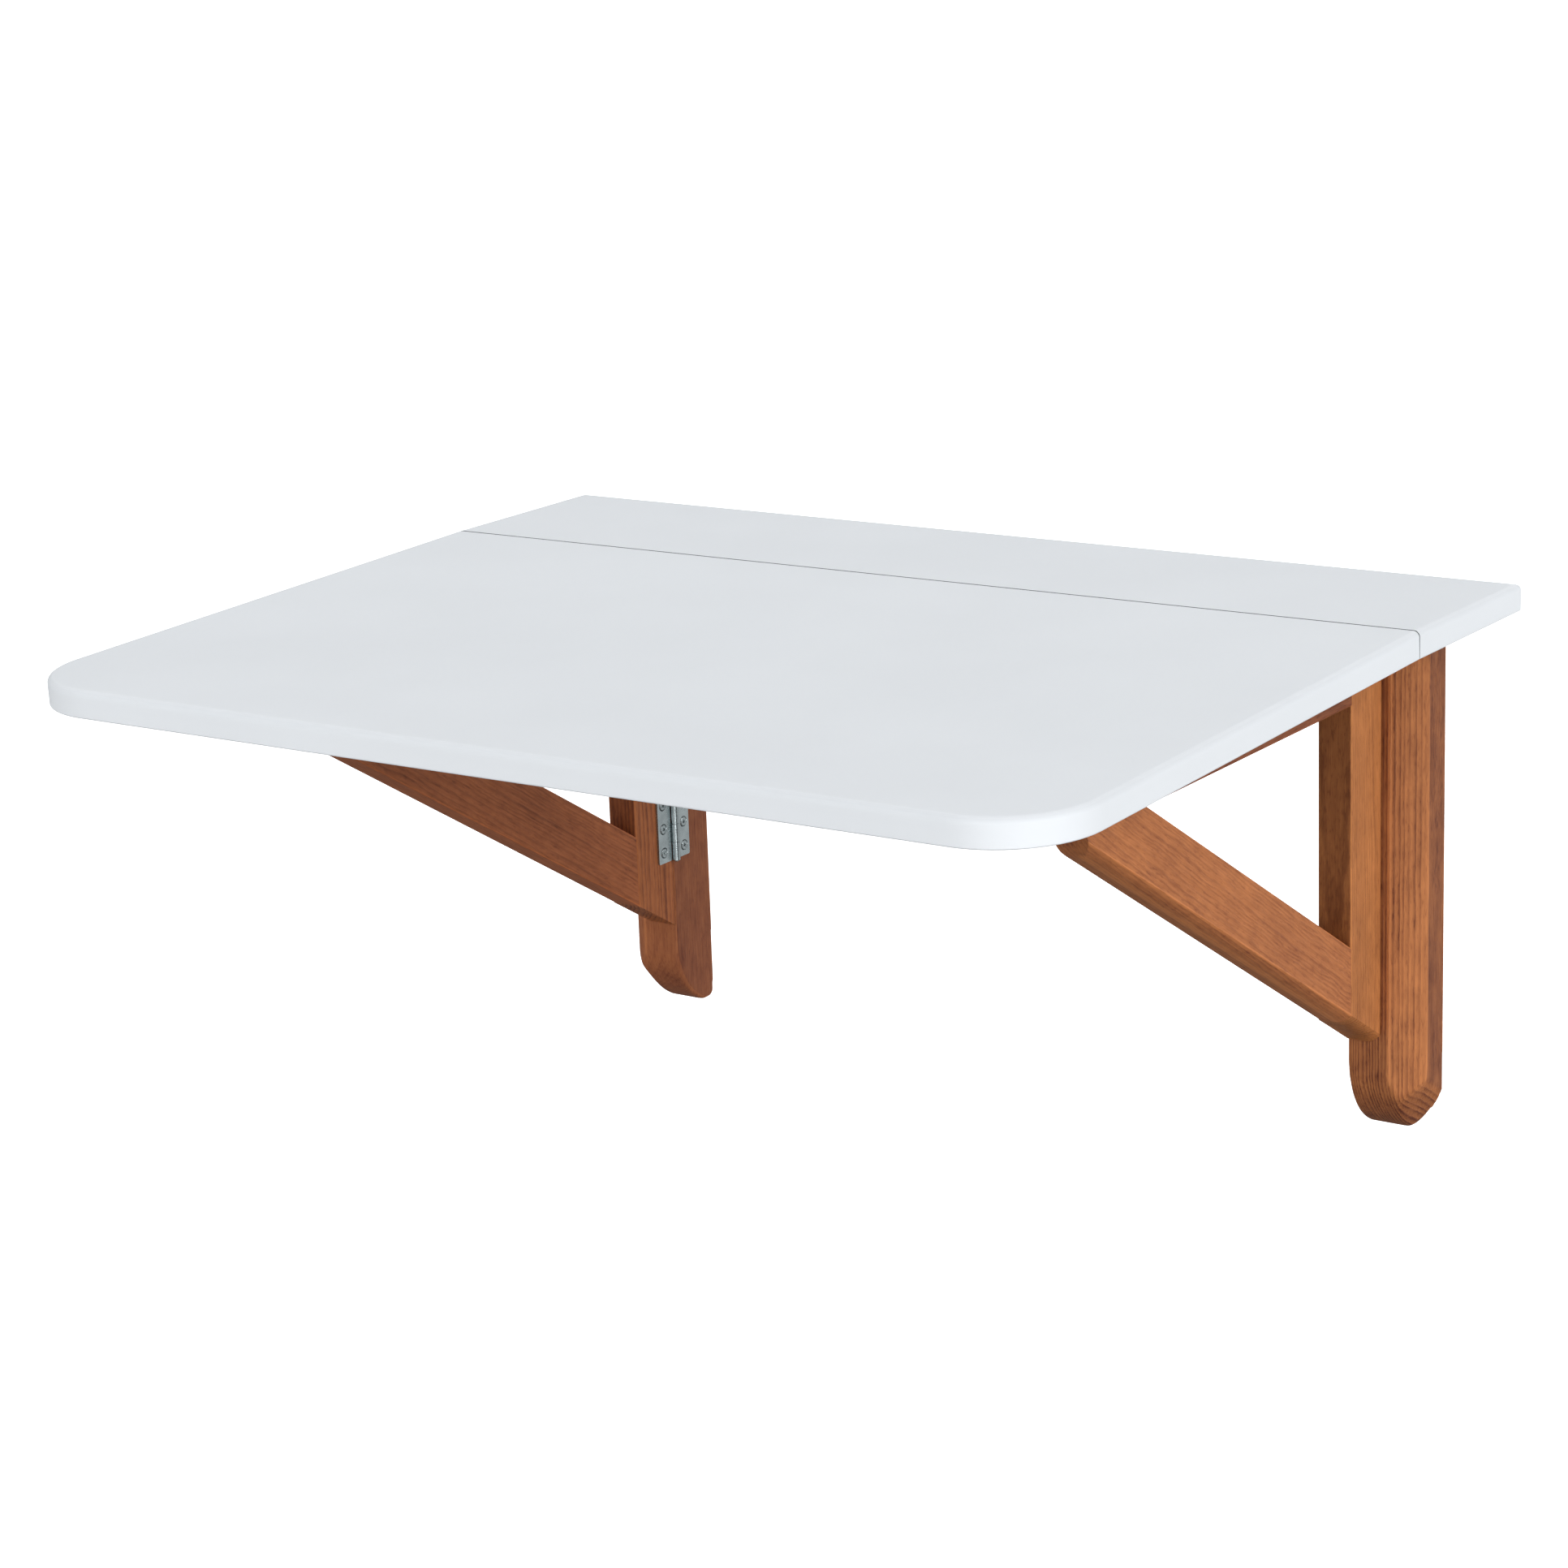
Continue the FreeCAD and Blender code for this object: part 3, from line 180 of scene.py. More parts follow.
def stained_pine(node, tones, pith_mm, lie_deg=0, skew_deg=(0, 0), ring_mm=2.6, contrast=1.0, sway_mm=5,
                 wave_mm=2.0, bevel=None, face_stain_and_shading=(0, 0, 0)):
    """Stained softwood for one member, in the tones of its early and late wood. The pith is a point on the
    tree's heart line, and the grain runs along the member but for the skew. Face stain and shading is how
    much darker the x faces, the y faces and the bevel are made than the rest, below nothing lighter:
    partly more stain, partly painted shade for faces that lie in shade."""
    material, tree, place = new_material(f"stained_pine_{node}")
    grain = add_node(tree, "ShaderNodeMapping", {
        "Vector": place,
        "Location": [c * MM for c in pith_mm],
        "Rotation": [math.radians(a) for a in (lie_deg + skew_deg[0], skew_deg[1], 0)],
        "Scale": (MM, MM, MM),
    }, vector_type="TEXTURE")
    # Each member takes its patterns from another part of the noise.
    steps = OWN_NOISE_STEPS
    shift_mm = (sum(pith_mm) * steps[0], pith_mm[0] * steps[1], pith_mm[2] * steps[2] + OWN_NOISE_START_MM)
    fibre = stretched_noise(tree, grain, FIBRE_MM, shift_mm, detail=3)
    pore = stretched_noise(tree, grain, PORE_MM, shift_mm, detail=2)
    patch = stretched_noise(tree, grain, PATCH_MM, shift_mm, detail=1)
    mottle = stretched_noise(tree, grain, MOTTLE_MM, shift_mm, detail=2)
    blotch = stretched_noise(tree, grain, BLOTCH_MM, shift_mm, detail=2)

    # The rings are cylinders round the pith that sway and wave as the tree grew.
    swayed = grain
    for reach, size_mm in ((sway_mm, SWAY_MM), (wave_mm, WAVE_MM)):
        noise = stretched_noise(tree, grain, size_mm, shift_mm, detail=1.5).node.outputs["Color"]
        drift = add_node(tree, "ShaderNodeVectorMath", {0: noise, 1: (NOISE_MIDDLE,) * 3},
                         operation="SUBTRACT")
        swayed = add_node(tree, "ShaderNodeVectorMath", {0: drift, 1: (reach, reach, 0), 2: swayed},
                          operation="MULTIPLY_ADD")
    flat = add_node(tree, "ShaderNodeVectorMath", {0: swayed, 1: (1, 1, 0)}, operation="MULTIPLY")
    radius = add_node(tree, "ShaderNodeVectorMath", {0: flat}, operation="LENGTH").node.outputs["Value"]
    crowded = add_node(tree, "ShaderNodeMath", {0: radius, 1: RING_CROWDING_MM}, operation="DIVIDE")
    crowding = add_node(tree, "ShaderNodeTexNoise", {"W": crowded, "Scale": 1.0, "Detail": 0.0},
                        noise_dimensions="1D")
    years = add_node(tree, "ShaderNodeMath", {0: radius, 1: 1 / ring_mm, 2: crowding},
                     operation="MULTIPLY_ADD")
    ragged = add_node(tree, "ShaderNodeMath", {0: pore, 1: PORE_RAGGEDNESS, 2: years},
                      operation="MULTIPLY_ADD")
    in_year = add_node(tree, "ShaderNodeMath", {0: ragged}, operation="FRACT")
    late_wood = add_node(tree, "ShaderNodeValToRGB", {"Fac": in_year}, stops=grey_stops(RING_SHARES))

    # Some years and some patches show stronger rings than others.
    year = add_node(tree, "ShaderNodeMath", {0: ragged}, operation="FLOOR")
    hard_year = add_node(tree, "ShaderNodeTexWhiteNoise", {"W": year}, noise_dimensions="1D")
    year_strength = add_node(tree, "ShaderNodeMapRange",
                             {"Value": hard_year, "To Min": 1 - YEAR_STRENGTH_SPREAD, "To Max": 1.0})
    patch_strength = add_node(tree, "ShaderNodeMapRange", {
        "Value": patch, "From Min": NOISE_LOW, "From Max": NOISE_HIGH,
        "To Min": PATCH_STRENGTH[0], "To Max": PATCH_STRENGTH[1]})
    lines = late_wood
    for strength in (year_strength, patch_strength):
        lines = add_node(tree, "ShaderNodeMath", {0: lines, 1: strength}, operation="MULTIPLY")

    stain_and_shade = add_node(tree, "ShaderNodeMath", {0: lines, 1: RING_STAIN * contrast, 2: EARLY_WOOD_STAIN},
                     operation="MULTIPLY_ADD")
    for pattern, share in ((fibre, FIBRE_STAIN), (mottle, MOTTLE_STAIN), (blotch, BLOTCH_STAIN)):
        centred = add_node(tree, "ShaderNodeMath", {0: pattern, 1: NOISE_MIDDLE}, operation="SUBTRACT")
        stain_and_shade = add_node(tree, "ShaderNodeMath", {0: centred, 1: share, 2: stain_and_shade}, operation="MULTIPLY_ADD")
    pores = add_node(tree, "ShaderNodeMapRange", {
        "Value": pore, "From Min": PORE_NOISE[0], "From Max": PORE_NOISE[1], "To Max": PORE_STAIN})
    faces, arris_wear_and_highlight = member_faces(tree, place, node, lie_deg, bevel)
    surface = faces[0]
    for face in faces[1:]:
        surface = add_node(tree, "ShaderNodeMath", {0: surface, 1: face}, operation="MAXIMUM")
    end_grain = add_node(tree, "ShaderNodeMapRange", {
        "Value": surface, "From Min": -END_GRAIN_MM[1], "From Max": -END_GRAIN_MM[0],
        "To Min": END_GRAIN_STAIN, "To Max": 0.0})
    # The arrises are made lighter: partly worn stain, partly a painted highlight.
    more_stain_and_shade = [(arris_wear_and_highlight, -ARRIS_WEAR_AND_HIGHLIGHT), (pores, 1.0), (end_grain, 1.0)]
    # Faces are made darker, below nothing lighter: partly more stain, partly painted shade.
    for face, share in zip(faces, face_stain_and_shading):
        on_face = add_node(tree, "ShaderNodeMath", {0: face, 1: -FACE_DEPTH_MM}, operation="GREATER_THAN")
        more_stain_and_shade.append((on_face, share))
    for where, share in more_stain_and_shade:
        stain_and_shade = add_node(tree, "ShaderNodeMath", {0: where, 1: share, 2: stain_and_shade}, operation="MULTIPLY_ADD")
    colour = add_node(tree, "ShaderNodeMix",
                      {"Factor": stain_and_shade, "A": linear(tones[0]), "B": linear(tones[1])}, data_type="RGBA")

    fibres = add_node(tree, "ShaderNodeMath", {0: fibre, 1: FIBRE_RELIEF}, operation="MULTIPLY")
    relief = add_node(tree, "ShaderNodeMath", {0: lines, 1: contrast, 2: fibres}, operation="MULTIPLY_ADD")
    bump = add_node(tree, "ShaderNodeBump",
                    {"Height": relief, "Strength": 0.8, "Distance": RING_RELIEF_MM * MM})
    rough = add_node(tree, "ShaderNodeMapRange", {
        "Value": fibre, "From Min": NOISE_LOW, "From Max": NOISE_HIGH,
        "To Min": PINE_ROUGHNESS[0], "To Max": PINE_ROUGHNESS[1]})
    shader = add_node(tree, "ShaderNodeBsdfPrincipled", {
        "Base Color": colour, "Roughness": rough, "Normal": bump, "IOR": 1.5, "Specular IOR Level": 0.22})
    add_node(tree, "ShaderNodeOutputMaterial", {"Surface": shader})
    return material


scene = bpy.context.scene


def new_piece(name, mesh):
    """A new object in the scene, at the origin."""
    piece = bpy.data.objects.new(name, mesh)
    scene.collection.objects.link(piece)
    return piece


def evaluated_mesh(piece):
    """The mesh that a piece's modifiers make of it."""
    depsgraph = bpy.context.evaluated_depsgraph_get()
    return bpy.data.meshes.new_from_object(piece.evaluated_get(depsgraph), depsgraph=depsgraph)


def settle(piece, mesh, body, replaced, crease_deg):
    """Give a piece its final mesh and no modifier, then tie it to its body and hide the nodes it stands
    for.
    Faces that meet at more than the crease look sharp."""
    old = piece.data
    piece.modifiers.clear()
    piece.data = mesh
    if old != mesh:
        bpy.data.meshes.remove(old)
    mesh.name = piece.name
    mesh.shade_smooth()
    mesh.set_sharp_from_angle(angle=math.radians(crease_deg))
    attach(piece, body)
    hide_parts(*replaced)


def saw_level(shape, level, keep_above):
    """Cut a closed mesh level and close it again, keeping what is above or below."""
    cut = bmesh.ops.bisect_plane(
        shape, geom=shape.verts[:] + shape.edges[:] + shape.faces[:], plane_co=(0, 0, level),
        plane_no=(0, 0, -1 if keep_above else 1), clear_outer=True)
    rim = [e for e in cut["geom_cut"] if isinstance(e, bmesh.types.BMEdge)]
    bmesh.ops.triangle_fill(shape, edges=rim, use_beauty=True)
    bmesh.ops.recalc_face_normals(shape, faces=shape.faces)


def fill_hollows(shape):
    """Fill what a sanding block would bridge, so that the shape is convex."""
    corners = [v.co.copy() for v in shape.verts]
    shape.clear()
    for corner in corners:
        shape.verts.new(corner)
    bmesh.ops.convex_hull(shape, input=shape.verts)
    bmesh.ops.delete(shape, geom=[v for v in shape.verts if not v.link_faces], context="VERTS")
    bmesh.ops.recalc_face_normals(shape, faces=shape.faces)


def rub_round(shape, foot_z):
    """Sand the foot round, less and less up the post. At the wall only its outline is rounded."""
    for i in range(SANDED_PASSES):
        reach = (SANDED_FOOT_MM - SANDED_FADE_MM * i / SANDED_PASSES) * MM
        low = [v for v in shape.verts if v.co.z < foot_z + reach]
        free = [v for v in low if v.co.y < -AT_WALL_MM * MM]
        at_wall = [v for v in low if v.co.y >= -AT_WALL_MM * MM and v.co.z < foot_z + WALL_ROUND_MM * MM]
        bmesh.ops.smooth_vert(shape, verts=free, factor=SANDED_SHARE, use_axis_x=True, use_axis_y=True,
                              use_axis_z=True)
        bmesh.ops.smooth_vert(shape, verts=at_wall, factor=SANDED_SHARE, use_axis_x=True, use_axis_z=True)


def sanded_post(side_name, material):
    """A post as planed and cut, with its foot sawn off, sanded round on a fine grid and set back on."""
    node = f"wall_post_{side_name}"
    foot_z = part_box(node)[0].z
    level = foot_z + (SANDED_FOOT_MM + FOOT_SEAM_MM) * MM
    planed = bmesh.new()
    planed.from_mesh(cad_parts[node].data)
    bmesh.ops.remove_doubles(planed, verts=planed.verts, dist=WELD_MM * MM)
    foot = planed.copy()
    saw_level(planed, level, keep_above=True)
    saw_level(foot, level + FOOT_SPARE_MM * MM, keep_above=False)
    fill_hollows(foot)
    mesh = bpy.data.meshes.new("foot")
    foot.to_mesh(mesh)
    piece = new_piece(f"sanded_post_{side_name}", mesh)
    grid = piece.modifiers.new("grid", "REMESH")
    grid.mode, grid.voxel_size = "VOXEL", SANDED_GRID_MM * MM
    foot.clear()
    foot.from_mesh(evaluated_mesh(piece))
    rub_round(foot, foot_z)
    saw_level(foot, level, keep_above=False)
    foot.to_mesh(mesh)
    planed.from_mesh(mesh)
    whole = bpy.data.meshes.new("post")
    planed.to_mesh(whole)
    planed.free()
    foot.free()
    whole.materials.append(material)
    settle(piece, whole, "wall_frame", (node,), POST_CREASE_DEG)


# The left post is in darker tones, and its sides are made darker still: partly its own wood and stain,
# partly painted shade, as it stands deep under the leaf. The right post's front is made a little darker and
# its bevel lighter.
sanded_post("left", stained_pine(
    "wall_post_left", ("AC6A42", "653120"), (-215, 150, 0), skew_deg=(0.4, 0.5), ring_mm=2.7, contrast=0.3,
    sway_mm=9, bevel=(POST_BEVEL_ACROSS_MM, POST_BEVEL_DEEP_MM, -1, -1), face_stain_and_shading=(0.25, 0, 0)))
sanded_post("right", stained_pine(
    "wall_post_right", ("C27B49", "60301D"), (93, -12, 0), skew_deg=(0, 0.1), ring_mm=2.3, contrast=1.1,
    sway_mm=1.0, wave_mm=0.9, bevel=(POST_BEVEL_ACROSS_MM, POST_BEVEL_DEEP_MM, 1, -1),
    face_stain_and_shading=(0, 0.06, -0.14)))


# Angles -----------------------------------------------------------------------------------------------
# A 40 mm angle bent from 2 mm steel sheet sits in the corner of each post and the board, bright zinc
# plated, with two countersunk wood screws in each leg. The plating is bluish grey, fine grained and soft
# in its shine, with faint clouds where it took unevenly.

# The plating's grain is far finer than a render shows: it is drawn coarse enough to soften the shine.
ZINC_TONES, ZINC_ROUGHNESS = ("97A1A3", "ABB5B7"), (0.24, 0.36)
ZINC_CLOUD_MM, ZINC_GRAIN_MM, ZINC_RELIEF_MM = 9, 0.8, 0.05
SCREW_HEAD_MM, SCREW_SHANK_MM, SCREW_CORE_MM, SCREW_LENGTH_MM, SCREW_POINT_MM = 6.9, 3.0, 2.2, 12.9, 3.0
SCREW_CROWN_MM, SCREW_TIP_MM, THREAD_PITCH_MM = 0.55, 0.05, 1.3
RECESS_SPAN_MM, RECESS_WIDTH_MM, RECESS_DEPTH_MM, RECESS_TAPER = 3.8, 1.0, 1.6, 0.45
# The thread ends this many head depths under the rim, and the blade that cuts the recess is this many
# recess depths tall, so that it stands out of the crown.
THREAD_END_SHARE, BLADE_SHARE = 1.3, 1.2
HEAD_SIDES, HEAD_RINGS, SHANK_SIDES = 32, 12, 12
ANGLE_SHEET_MM, ANGLE_MIDDLE_MM, ANGLE_SCREWS_MM = 2, 12, (14, 30)
CREASE_DEG = 32


def bright_zinc():
    """Zinc plated steel: even colour with soft clouds, a fine grain in the shine."""
    material, tree, place = new_material("bright_zinc_plated_steel")
    cloud = add_node(tree, "ShaderNodeTexNoise",
                     {"Vector": place, "Scale": 1 / (ZINC_CLOUD_MM * MM), "Detail": 3.0})
    grain = add_node(tree, "ShaderNodeTexNoise",
                     {"Vector": place, "Scale": 1 / (ZINC_GRAIN_MM * MM), "Detail": 2.0})
    colour = add_node(tree, "ShaderNodeValToRGB", {"Fac": cloud}, stops=(
        (NOISE_LOW, linear(ZINC_TONES[0])), (NOISE_HIGH, linear(ZINC_TONES[1]))))
    rough = add_node(tree, "ShaderNodeMapRange", {
        "Value": grain, "From Min": NOISE_LOW, "From Max": NOISE_HIGH,
        "To Min": ZINC_ROUGHNESS[0], "To Max": ZINC_ROUGHNESS[1]})
    bump = add_node(tree, "ShaderNodeBump",
                    {"Height": grain, "Strength": 0.15, "Distance": ZINC_RELIEF_MM * MM})
    shader = add_node(tree, "ShaderNodeBsdfPrincipled", {
        "Base Color": colour, "Metallic": 1.0, "Roughness": rough, "Normal": bump})
    add_node(tree, "ShaderNodeOutputMaterial", {"Surface": shader})
    return material


zinc = bright_zinc()


def screw_tree():
    """A cross recessed countersunk wood screw, set on every point with its head along the point's
    facing direction and its recess at a random turn. The rim of its head is level with the point."""
    tree = bpy.data.node_groups.new("countersunk_screws", "GeometryNodeTree")
    tree.interface.new_socket("Points", in_out="INPUT", socket_type="NodeSocketGeometry")
    for name, size_mm in (
            ("Head Radius", SCREW_HEAD_MM / 2), ("Shank Radius", SCREW_SHANK_MM / 2),
            ("Core Radius", SCREW_CORE_MM / 2), ("Length", SCREW_LENGTH_MM), ("Point", SCREW_POINT_MM),
            ("Crown", SCREW_CROWN_MM), ("Pitch", THREAD_PITCH_MM), ("Recess Span", RECESS_SPAN_MM),
            ("Recess Width", RECESS_WIDTH_MM), ("Recess Depth", RECESS_DEPTH_MM)):
        socket = tree.interface.new_socket(name, in_out="INPUT", socket_type="NodeSocketFloat")
        socket.default_value = size_mm * MM
    for name, kind in (("Seed", "Int"), ("Finish", "Material")):
        tree.interface.new_socket(name, in_out="INPUT", socket_type="NodeSocket" + kind)
    tree.interface.new_socket("Screws", in_out="OUTPUT", socket_type="NodeSocketGeometry")
    given = tree.nodes.new("NodeGroupInput").outputs

    # The other sizes, each of them one size times a factor, plus another size.
    size = {socket.name: socket for socket in given}
    for name, first, factor, second in (
            ("Head Depth", "Core Radius", -1.0, "Head Radius"), ("Head Bottom", "Head Depth", -1.0, None),
            ("Shaft", "Point", -1.0, "Length"), ("Shaft Middle", "Shaft", -0.5, None),
            ("Shaft Bottom", "Shaft", -1.0, None), ("Tip", "Length", -1.0, None),
            ("Thread Length", "Head Depth", -THREAD_END_SHARE, "Shaft"),
            ("Thread Radius", "Core Radius", -1.0, "Shank Radius"),
            ("Recess Bottom", "Recess Depth", -1.0, "Crown"),
            ("Blade", "Recess Depth", BLADE_SHARE, None)):
        size[name] = add_node(tree, "ShaderNodeMath", {0: size[first], 1: factor, 2: size.get(second, 0.0)},
                              operation="MULTIPLY_ADD")
    core = size["Core Radius"]
    cone = add_node(tree, "GeometryNodeMeshCone", {
        "Vertices": HEAD_SIDES, "Radius Top": size["Head Radius"], "Radius Bottom": core,
        "Depth": size["Head Depth"]})
    ball = add_node(tree, "GeometryNodeMeshUVSphere",
                    {"Segments": HEAD_SIDES, "Rings": HEAD_RINGS, "Radius": 1.0})
    shaft = add_node(tree, "GeometryNodeMeshCylinder",
                     {"Vertices": SHANK_SIDES, "Radius": core, "Depth": size["Shaft"]})
    point = add_node(tree, "GeometryNodeMeshCone", {
        "Vertices": SHANK_SIDES, "Radius Top": core, "Radius Bottom": SCREW_TIP_MM * MM,
        "Depth": size["Point"]})
    turns = add_node(tree, "ShaderNodeMath", {0: size["Thread Length"], 1: size["Pitch"]},
                     operation="DIVIDE")
    thread_line = add_node(tree, "GeometryNodeCurveSpiral", {
        "Resolution": SHANK_SIDES, "Rotations": turns, "Start Radius": core, "End Radius": core,
        "Height": size["Thread Length"]})
    thread_edge = add_node(tree, "GeometryNodeCurvePrimitiveCircle",
                           {"Resolution": 3, "Radius": size["Thread Radius"]})
    thread = add_node(tree, "GeometryNodeCurveToMesh",
                      {"Curve": thread_line, "Profile Curve": thread_edge, "Fill Caps": True})
    body = add_node(tree, "GeometryNodeMeshBoolean", operation="UNION", solver="MANIFOLD").node
    for mesh, low in ((cone, "Head Bottom"), (ball, None), (shaft, "Shaft Middle"), (point, "Tip"),
                      (thread, "Shaft Bottom")):
        inputs = {"Geometry": mesh}
        if low:
            inputs["Translation"] = add_node(tree, "ShaderNodeCombineXYZ", {"Z": size[low]})
        else:
            inputs["Scale"] = add_node(tree, "ShaderNodeCombineXYZ", {
                "X": size["Head Radius"], "Y": size["Head Radius"], "Z": size["Crown"]})
        tree.links.new(add_node(tree, "GeometryNodeTransform", inputs), body.inputs["Mesh 2"])

    blade = add_node(tree, "GeometryNodeMeshCone", {
        "Vertices": 4, "Radius Top": math.sqrt(0.5), "Radius Bottom": math.sqrt(0.5) * RECESS_TAPER,
        "Depth": 1.0})
    squared = add_node(tree, "GeometryNodeTransform", {"Geometry": blade, "Rotation": (0, 0, math.pi / 4)})
    blade_place = add_node(tree, "ShaderNodeCombineXYZ", {"Z": size["Recess Bottom"]})
    blade_size = add_node(tree, "ShaderNodeCombineXYZ", {
        "X": size["Recess Span"], "Y": size["Recess Width"], "Z": size["Blade"]})
    wing = add_node(tree, "GeometryNodeTransform",
                    {"Geometry": squared, "Translation": blade_place, "Scale": blade_size})
    cross_wing = add_node(tree, "GeometryNodeTransform",
                          {"Geometry": wing, "Rotation": (0, 0, math.pi / 2)})
    cut = add_node(tree, "GeometryNodeMeshBoolean", {"Mesh 1": body.outputs[0]},
                   operation="DIFFERENCE", solver="MANIFOLD").node
    for cutter in (wing, cross_wing):
        tree.links.new(cutter, cut.inputs["Mesh 2"])

    facing = add_node(tree, "GeometryNodeInputNamedAttribute", {"Name": "facing"}, data_type="FLOAT_VECTOR")
    upright = add_node(tree, "FunctionNodeAlignRotationToVector", {"Vector": facing}, axis="Z")
    turn = add_node(tree, "FunctionNodeRandomValue",
                    {"Min": 0.0, "Max": math.pi / 2, "Seed": given["Seed"]}, data_type="FLOAT")
    spin = add_node(tree, "FunctionNodeAxisAngleToRotation", {"Axis": (0, 0, 1), "Angle": turn})
    turned = add_node(tree, "FunctionNodeRotateRotation", {"Rotation": upright, "Rotate By": spin},
                      rotation_space="LOCAL")
    set_out = add_node(tree, "GeometryNodeInstanceOnPoints", {
        "Points": given["Points"], "Instance": cut.outputs[0], "Rotation": turned})
    real = add_node(tree, "GeometryNodeRealizeInstances", {"Geometry": set_out})
    plated = add_node(tree, "GeometryNodeSetMaterial", {"Geometry": real, "Material": given["Finish"]})
    add_node(tree, "NodeGroupOutput", {"Screws": plated})
    return tree


screws = screw_tree()


def drive_screws(name, places, body, replaced, seed):
    """One piece of screws. Each place is the middle of a head's rim and the way that the head faces."""
    points = bpy.data.meshes.new(name + "_points")
    points.from_pydata([place for place, _ in places], [], [])
    facing = points.attributes.new("facing", "FLOAT_VECTOR", "POINT")
    for i, (_, direction) in enumerate(places):
        facing.data[i].vector = direction
    piece = new_piece(name, points)
    modifier = piece.modifiers.new("screws", "NODES")
    modifier.node_group = screws
    ids = {s.name: s.identifier for s in screws.interface.items_tree if s.in_out == "INPUT"}
    modifier[ids["Seed"]] = seed
    modifier[ids["Finish"]] = zinc
    settle(piece, evaluated_mesh(piece), body, replaced, CREASE_DEG)


def finish_node(node, material):
    """Give a piece that keeps its own shape its finish."""
    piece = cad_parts[node]
    piece.data.materials.clear()
    piece.data.materials.append(material)


angle_places = []
for side, side_name in ((-1, "left"), (1, "right")):
    finish_node(f"angle_bracket_{side_name}", zinc)
    low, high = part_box(f"angle_bracket_{side_name}")
    post_x = high.x if side > 0 else low.x
    middle_y = -ANGLE_MIDDLE_MM * MM
    for distance in ANGLE_SCREWS_MM:
        angle_places += [
            (Vector((post_x - side * ANGLE_SHEET_MM * MM, middle_y, high.z - distance * MM)),
             Vector((-side, 0, 0))),
            (Vector((post_x - side * distance * MM, middle_y, high.z - ANGLE_SHEET_MM * MM)),
             Vector((0, 0, -1)))]
drive_screws("angle_screws", angle_places, "wall_frame",
             ("angle_bracket_screws_left", "angle_bracket_screws_right"), seed=3)


# Fixed board ------------------------------------------------------------------------------------------
# An 18 mm board along the wall, rounded on its long edges and lacquered white all over. The lacquer is
# cool white and satin, sprayed, so that it has the faintest orange peel and no grain.

LACQUER_TONES, LACQUER_STOPS, LACQUER_ROUGHNESS = ("E2E6EA", "E4E8EC"), (0.35, 0.65), (0.56, 0.62)
LACQUER_CLOUD_MM, ORANGE_PEEL_MM, PEEL_RELIEF_MM = 120, 3.5, 0.05
# Where the boards meet, a dark hairline is painted along the joint: painted shade for the narrow gap
# between them. It is wider on top, where both arrises are rounded. These are half its widths.
SEAM_SHADE_TONE, SEAM_ROUND_MM, SEAM_TOP_MM, SEAM_END_MM = "3A3E40", 1, 0.62, 0.17
# The rounded top edges are painted a little greyer, most of all a third of the way down the rounding:
# painted shade that tones down the brighter light the rounding catches.
EDGE_SHADE_TONE, TOP_ROUND_MM = "D4D8DC", 4
EDGE_SHADE_SHARES = ((0.01, 0), (0.08, 0.6), (0.3, 1), (0.6, 0.75), (1, 0))
# The leaf falls away from the seam by the first over the second.
LEAF_DROP_MM, LEAF_RUN_MM = 7.3, 280
board_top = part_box("fixed_board")[1].z
seam_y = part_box("fixed_board")[0].y


